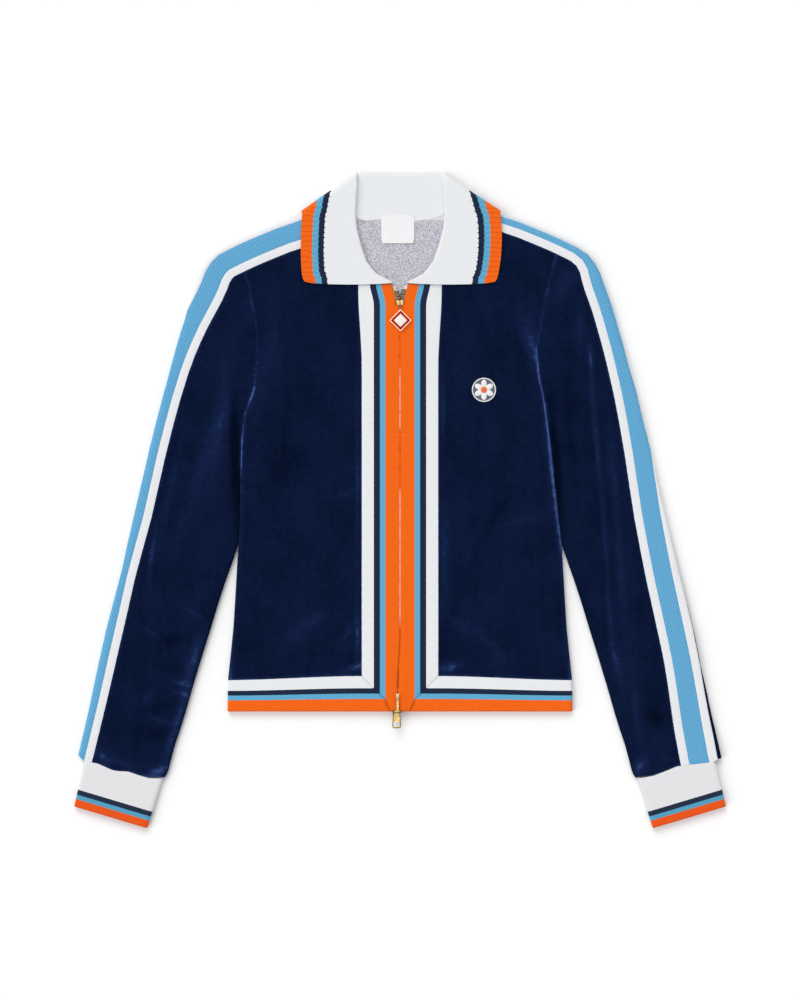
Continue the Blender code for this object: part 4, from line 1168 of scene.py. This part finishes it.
# %% Helpers for pulls
RING_RADIUS = 1.75


def pull_ring(name, x, y, stretch, wire, narrow):
    """A ring whose upper wire lies on the pull's axis, narrowed and stretched downwards."""
    ring = torus(name, (x, y - RING_RADIUS, AXIS_Z), RING_RADIUS, wire)
    edit(ring, "VERT", lambda v: v.co.y < (y - RING_RADIUS) * MM)
    bpy.ops.transform.translate(value=(0, -stretch * MM, 0))
    bpy.ops.mesh.select_all(action="SELECT")
    bpy.ops.transform.resize(value=(narrow, 1, 1), center_override=(x * MM, y * MM, AXIS_Z * MM))
    return close(ring)


def upright(edge):
    """True for an edge that runs along Z."""
    start, end = (v.co for v in edge.verts)
    return (start - end).xy.length < 0.001 * MM


print("rings are", 2 * RING_RADIUS, "mm across before they are drawn down")

# %% [markdown]
# ## Diamond pull
# The upper pull is a diamond cast in metal, with a raised rim. Red enamel fills the
# hollow inside the rim, and a plain field of white enamel stands in its middle. A
# cylinder with four sides is a diamond from the start, and each inset of its top face
# gives the outline of the next field. The insets come before the corners are rounded,
# so that the fields keep sharp corners while the rim's are blunt.

# %% Diamond pull
DIAMOND_RADIUS, DIAMOND_DEPTH = 12.4, 2.0
middle = Vector((0.6, 201.5, AXIS_Z)) * MM
bpy.ops.object.select_all(action="DESELECT")
bpy.ops.mesh.primitive_cylinder_add(
    vertices=4, radius=DIAMOND_RADIUS * MM, depth=DIAMOND_DEPTH * MM, location=middle
)
diamond = settle("diamond")
# the diamond's metal is the pale gilt of a painted highlight
coat([diamond], GILT_HIGHLIT, RED_ENAMEL, WHITE_ENAMEL)
edit(diamond, "FACE", lambda face: face.normal.z > 0.9)
field(0.9, -0.3, 1, diamond)
field(2.6, 0.15, 2, diamond)
edit(diamond, "EDGE", lambda edge: upright(edge) and (edge.verts[0].co - middle).xy.length > 12 * MM)
bpy.ops.mesh.bevel(offset=0.8 * MM, segments=3)
round_edges(close(diamond), 0.16, 2)
ring = pull_ring("ring", 0, TOP_BRIDGE, 3.3, 0.62, 0.5)
# the ring is the pale gilt of a painted highlight
coat([ring], GILT_HIGHLIT)
pull = metal(join("top_pull_metal", [diamond, ring]), "top_pull", "top_pull")
print("diamond pull:", len(pull.data.polygons), "faces")

# %% [markdown]
# ## Lower slider
# A zip that opens from both ends has a second slider at its foot, upside down. It sits
# in the slit of the hem: a flange across the foot of the zip, painted dark as shade, with
# a bright lip, a plate under the teeth, and a stout bridge between two low cheeks, which
# are painted pale as highlights. It leans with the zip, so every x is counted from the
# zip's foot.

# %% Lower slider
foot = ZIP_LEAN  # x of the zip's foot
plate = round_edges(block("plate", (foot - 5.3, -237.2, 3.1), (foot + 5.3, -213.5, 3.9)), 0.3)
cheeks = []
for middle in (foot - 1.1, foot + 1.1):
    cheeks.append(block("cheek", (middle - 0.7, -223.2, 3.6), (middle + 0.7, -215.8, 4.6)))
bridge_at = Vector((foot, BOTTOM_BRIDGE, AXIS_Z))
bridge = torus("bridge", bridge_at, BRIDGE_RADIUS, 0.5, math.pi / 2)
edit(bridge, "VERT", lambda v: True)
bpy.ops.transform.resize(value=(1.3, 1.6, 1), center_override=bridge_at * MM)
close(bridge)
post = round_edges(block("post", (foot - 0.7, -223.1, 3.6), (foot + 0.7, -215.9, 6.2)), 0.3)
flange = round_edges(block("flange", (foot - 6.1, -237.5, 2.8), (foot + 4.7, -234.6, 6.5)), 0.45)
lip = round_edges(block("lip", (foot - 3.6, -237.3, 6.25), (foot + 2.2, -235.2, 6.75)), 0.2)
coat((plate, lip), GILT)
# cheeks, bridge and post are the pale gilt of a painted highlight
coat((*cheeks, bridge, post), GILT_HIGHLIT)
# the flange is painted dark all over with the gilt in painted shade
coat([flange], GILT_SHADE)
slider = join("bottom_slider_metal", [plate, *cheeks, bridge, post, flange, lip])
metal(slider, "garment", "bottom_slider")
print("lower slider:", len(slider.data.polygons), "faces")

# %% [markdown]
# ## Tab pull
# The lower pull is a tapering tab with a sunk face, round corners at its end and a
# window for the fingertip, and a neck joins it to its ring. The window is cut last, by
# a Boolean, because a bevel round a finished hole would also catch the hole's edges.

# %% Tab
LEFT, RIGHT, LOW, HIGH = -8.7, 1.1, -254.6, -236.6
tab = block("tab", (LEFT, LOW, AXIS_Z - 0.8), (RIGHT, HIGH, AXIS_Z + 0.8))
edit(tab, "FACE", lambda face: face.normal.y > 0.9)
bpy.ops.transform.resize(value=(0.84, 1, 1))
edit(tab, "EDGE", lambda edge: upright(edge) and edge.verts[0].co.y < (LOW + 1) * MM)
bpy.ops.mesh.bevel(offset=2.2 * MM, segments=5)
# the tab takes the gilt in painted shade, and its sunk face the plain gilt
coat([tab], GILT_SHADE, GILT)
edit(tab, "FACE", lambda face: face.normal.z > 0.9)
field(0.9, -0.35, 1, tab)
round_edges(close(tab), 0.16, 2)
print("tab:", round(HIGH - LOW, 1), "mm long")

# %% Window, neck and ring
cutter = block("cutter", (LEFT + 1.3, -253.1, 5), (RIGHT - 1.4, -247.8, 11))
edit(cutter, "EDGE", upright)
bpy.ops.mesh.bevel(offset=1.3 * MM, segments=4)
close(cutter)
only(tab)
window = tab.modifiers.new("window", "BOOLEAN")
window.operation, window.object = "DIFFERENCE", cutter
bpy.ops.object.modifier_apply(modifier=window.name)
bpy.data.objects.remove(cutter)
neck = block("neck", (foot - 1.45, -238.2, AXIS_Z - 0.6), (foot + 1.45, -223.9, AXIS_Z + 0.6))
round_edges(neck, 0.4)
ring = pull_ring("ring", foot, BOTTOM_BRIDGE, 1.2, 0.5, 0.75)
coat([neck], GILT)
# the ring is the pale gilt of a painted highlight
coat([ring], GILT_HIGHLIT)
pull = join("bottom_pull_metal", [tab, neck, ring])
metal(pull, "bottom_pull", "bottom_pull")
print("tab pull:", len(pull.data.polygons), "faces")

# %% [markdown]
# ## Neck label
# The neck label is a bare woven satin rectangle, caught by two short rows of stitches at
# its upper corners, so its lower edge stands off the cloth a little. A flat copy of the
# solid is refined and bent by a formula: the further down a point is, the more it is
# lifted and drawn in. The stitches are small rounded blocks, painted grey as the shade
# where they pull the label in.

# %% Neck label
label = cloth_copy("neck_label", 0.0025)
low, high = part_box("neck_label")
points = points_of(label)
across = (points[:, 0] - low[0]) / (high[0] - low[0])
down = (high[1] - points[:, 1]) / (high[1] - low[1])
points[:, 2] += MM * (0.5 * ease(0.5, 1, down) + 0.15 * np.sin(across * 9) * down)
corner = 0.0012 * ease(0.86, 1, down)
points[:, 0] += corner * (1 - 2 * across)
set_points(label, points)
LABEL = woven("label_satin", colour(236, 236, 239), colour(250, 250, 251), 0.0009)
dress(label, "garment", "neck_label", "label", LABEL)
print("label:", round(1000 * (high[0] - low[0]), 1), "mm wide")

# %% Stitches of the label
# grey thread: painted shade where the stitches pull the label in
THREAD_IN_SHADE = woven("label_thread_painted_shade", colour(196, 196, 202), colour(226, 226, 230), 0.0006)
stitches = []
for x in (-19.6, -18.0, -16.4, 11.2, 12.8, 14.4):
    stitch = block("stitch", (x, 318.4, 4.5), (x + 1.1, 318.9, 5.05))
    stitches.append(round_edges(stitch, 0.2, 2, 30))
thread = join("label_stitches", stitches)
coat([thread], THREAD_IN_SHADE)
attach(thread, "garment")
print(len(stitches), "stitches hold the label")

# %% [markdown]
# ## Badge
# The badge is an embroidered patch with a plain flower: a raised pale rim sewn over the
# edge, a slate ground of satin stitch, six padded white petals and an orange middle.
# Satin stitch is thread laid side by side, so one function draws rows of it in any
# direction. The petals are low mounds, because real ones are sewn over padding.


# %% Badge finishes
def satin_stitch(name, dark, light, turn):
    """Rows of glossy thread side by side; turn is their direction in degrees."""
    made = Finish(name, Roughness=0.55, Specular_IOR_Level=0.4, Sheen_Weight=0.2)
    place = made.place()
    x, y, _ = made.split(place)
    slant = math.radians(turn)
    grain = made.noise(place, 900, 2, 0.6)
    thread = ((x * math.cos(slant) + y * math.sin(slant)) * (2 * math.pi / 0.0007) + grain * 3.0).sine()
    made.set(Base_Color=made.mix(thread * 0.25 + grain * 0.8, dark, light))
    made.bump(thread + grain * 0.5, 0.0002, 0.6)
    return made.material


SLATE = satin_stitch("slate_stitch", colour(78, 82, 104), colour(116, 118, 142), 20)
PALE = satin_stitch("pale_stitch", colour(246, 246, 247), colour(255, 255, 252), 70)
RIM = satin_stitch("rim_stitch", colour(240, 238, 232), colour(255, 254, 250), 0)
ORANGE = satin_stitch("orange_stitch", colour(236, 96, 38), colour(255, 136, 66), 45)
print("badge finishes are ready")

# %% Patch of the badge
BADGE_AT, BADGE_RADIUS, BADGE_LOW, BADGE_TOP = Vector((93.9, 123.8, 0)), 13.5, 6.5, 7.5
bpy.ops.object.select_all(action="DESELECT")
bpy.ops.mesh.primitive_cylinder_add(
    vertices=56, radius=BADGE_RADIUS * MM, depth=(BADGE_TOP - BADGE_LOW) * MM,
    location=(BADGE_AT + Vector((0, 0, (BADGE_LOW + BADGE_TOP) / 2))) * MM,
)  # fmt: skip
patch = settle("patch")
coat([patch], RIM, SLATE)
edit(patch, "FACE", lambda face: face.normal.z > 0.9)
field(1.2, -0.3, 1, patch)
round_edges(close(patch), 0.3, 3)
print("patch:", 2 * BADGE_RADIUS, "mm across")


# %% Flower of the badge
PETALS, PETAL_AWAY = 6, 6.9  # how many, and how far out from the middle of the badge each is


def pad(name, place, size, turn, finish):
    """A low padded mound of stitches, size across, along and high in millimetres."""
    bpy.ops.object.select_all(action="DESELECT")
    bpy.ops.mesh.primitive_uv_sphere_add(
        segments=20, ring_count=10, radius=MM, location=Vector(place) * MM, rotation=(0, 0, turn), scale=size
    )
    piece = settle(name)
    edit(piece, "VERT", lambda v: v.co.z < place[2] * MM)
    bpy.ops.transform.resize(value=(1, 1, 0.3))
    coat([close(piece)], finish)
    return piece


motif = []
for k in range(PETALS):
    angle = (k + 0.5) * 2 * math.pi / PETALS
    out = PETAL_AWAY * Vector((math.cos(angle), math.sin(angle), 0))
    place = BADGE_AT + out + Vector((0, 0, BADGE_TOP - 0.2))
    motif.append(pad("petal", place, (4.6, 3.1, 0.7), angle, PALE))
motif.append(pad("flower_middle", BADGE_AT + Vector((0, 0, BADGE_TOP)), (3.7, 3.7, 0.8), 0, ORANGE))
flower = join("badge_flower", motif)
print("flower:", len(motif), "padded mounds")

# %% Badge in its place
for piece in (patch, flower):
    only(piece)
    bpy.ops.object.shade_smooth_by_angle(angle=math.radians(40))
    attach(piece, "garment")
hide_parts("chest_badge")
print("badge:", len(patch.data.polygons) + len(flower.data.polygons), "faces")

# %% [markdown]
# ## Camera and floor
# The camera looks straight down through a long lens, so the jacket shows hardly any of
# its sides. Its height follows from the lens and from how much it has to see. The floor
# is white paper, which is a part of the stage and not of the jacket.

# %% Camera
LENS, SENSOR = 85, 36  # millimetres
SEEN = 1.12  # how many metres the longer side of the view covers
CLOTH_TOP, VIEW_MIDDLE = 0.004, 0.00056  # z at which it covers them, and y in the middle of the view
camera = bpy.data.objects.new("camera", bpy.data.cameras.new("camera"))
bpy.context.scene.collection.objects.link(camera)
camera.data.lens, camera.data.sensor_width, camera.data.clip_end = LENS, SENSOR, 50
camera.location = (0, VIEW_MIDDLE, SEEN / SENSOR * LENS + CLOTH_TOP)
bpy.context.scene.camera = camera
print("camera looks straight down from", round(camera.location.z, 3), "m")

# %% Floor
FLOOR_SIZE, FLOOR_LEVEL = 12, -0.0005  # metres; it lies half a millimetre under the jacket
bpy.ops.mesh.primitive_plane_add(size=FLOOR_SIZE, location=(0, 0, FLOOR_LEVEL))
floor = bpy.context.active_object
floor.name = "floor"
paper = Finish("floor_paper", Roughness=0.9, Base_Color=(*[FLOOR_WHITE] * 3, 1), Specular_IOR_Level=0.1)
coat([floor], paper.material)
floor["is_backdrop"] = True
print("floor:", FLOOR_SIZE, "m of white paper")

# %% [markdown]
# ## Light
# A large soft light stands to the upper left and another is overhead, and both reach
# everything but the floor, with a pale sky for the rest. The shadow beside cloth that
# lies on white paper is soft and faint, and a light that is right for the relief makes
# it too hard. So the floor has two suns of its own, one from above in the view and one
# from the left, and their shadows run together below and to the right. Light linking
# says which light reaches what.

# %% Sky and suns
SKY_LIGHT = 0.62


def linked_to(floor, state):
    """A collection that lets a light reach only the floor, or everything but the floor."""
    group = bpy.data.collections.new("light_" + state.lower())
    group.objects.link(floor)
    group.collection_objects[0].light_linking.link_state = state
    return group


def sun(name, energy, angle, direction, receivers):
    """A sun whose light travels in a direction; the wider its angle, the softer its shadows."""
    light = bpy.data.objects.new(name, bpy.data.lights.new(name, "SUN"))
    bpy.context.scene.collection.objects.link(light)
    light.data.energy, light.data.angle = energy, math.radians(angle)
    light.rotation_euler = Vector(direction).to_track_quat("-Z", "Y").to_euler()
    light.light_linking.receiver_collection = receivers


world = bpy.data.worlds.new("sky")
bpy.context.scene.world = world
world.use_nodes = True
world.node_tree.nodes["Background"].inputs["Color"].default_value = (1, 1, 1, 1)
world.node_tree.nodes["Background"].inputs["Strength"].default_value = SKY_LIGHT
floor_only, all_but_floor = linked_to(floor, "INCLUDE"), linked_to(floor, "EXCLUDE")
sun("key", 1.3, 30, (1, -1, -0.85), all_but_floor)
sun("floor_key", 1.5, 40, (0.3, -1, -0.75), floor_only)
sun("floor_side", 1.45, 50, (1, 0.35, -0.65), floor_only)
sun("overhead", 0.98, 60, (0.1, -0.1, -1), all_but_floor)
bpy.context.scene.view_settings.view_transform = "Standard"
print("suns:", [light.name for light in bpy.data.lights])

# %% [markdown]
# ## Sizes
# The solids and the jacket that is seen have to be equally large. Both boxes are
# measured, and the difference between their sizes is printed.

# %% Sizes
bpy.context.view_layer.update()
grown = np.ptp(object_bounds(), axis=0) - np.ptp(cad_box, axis=0)
print("what is seen is larger than the solids by", np.round(grown / MM, 2), "mm")
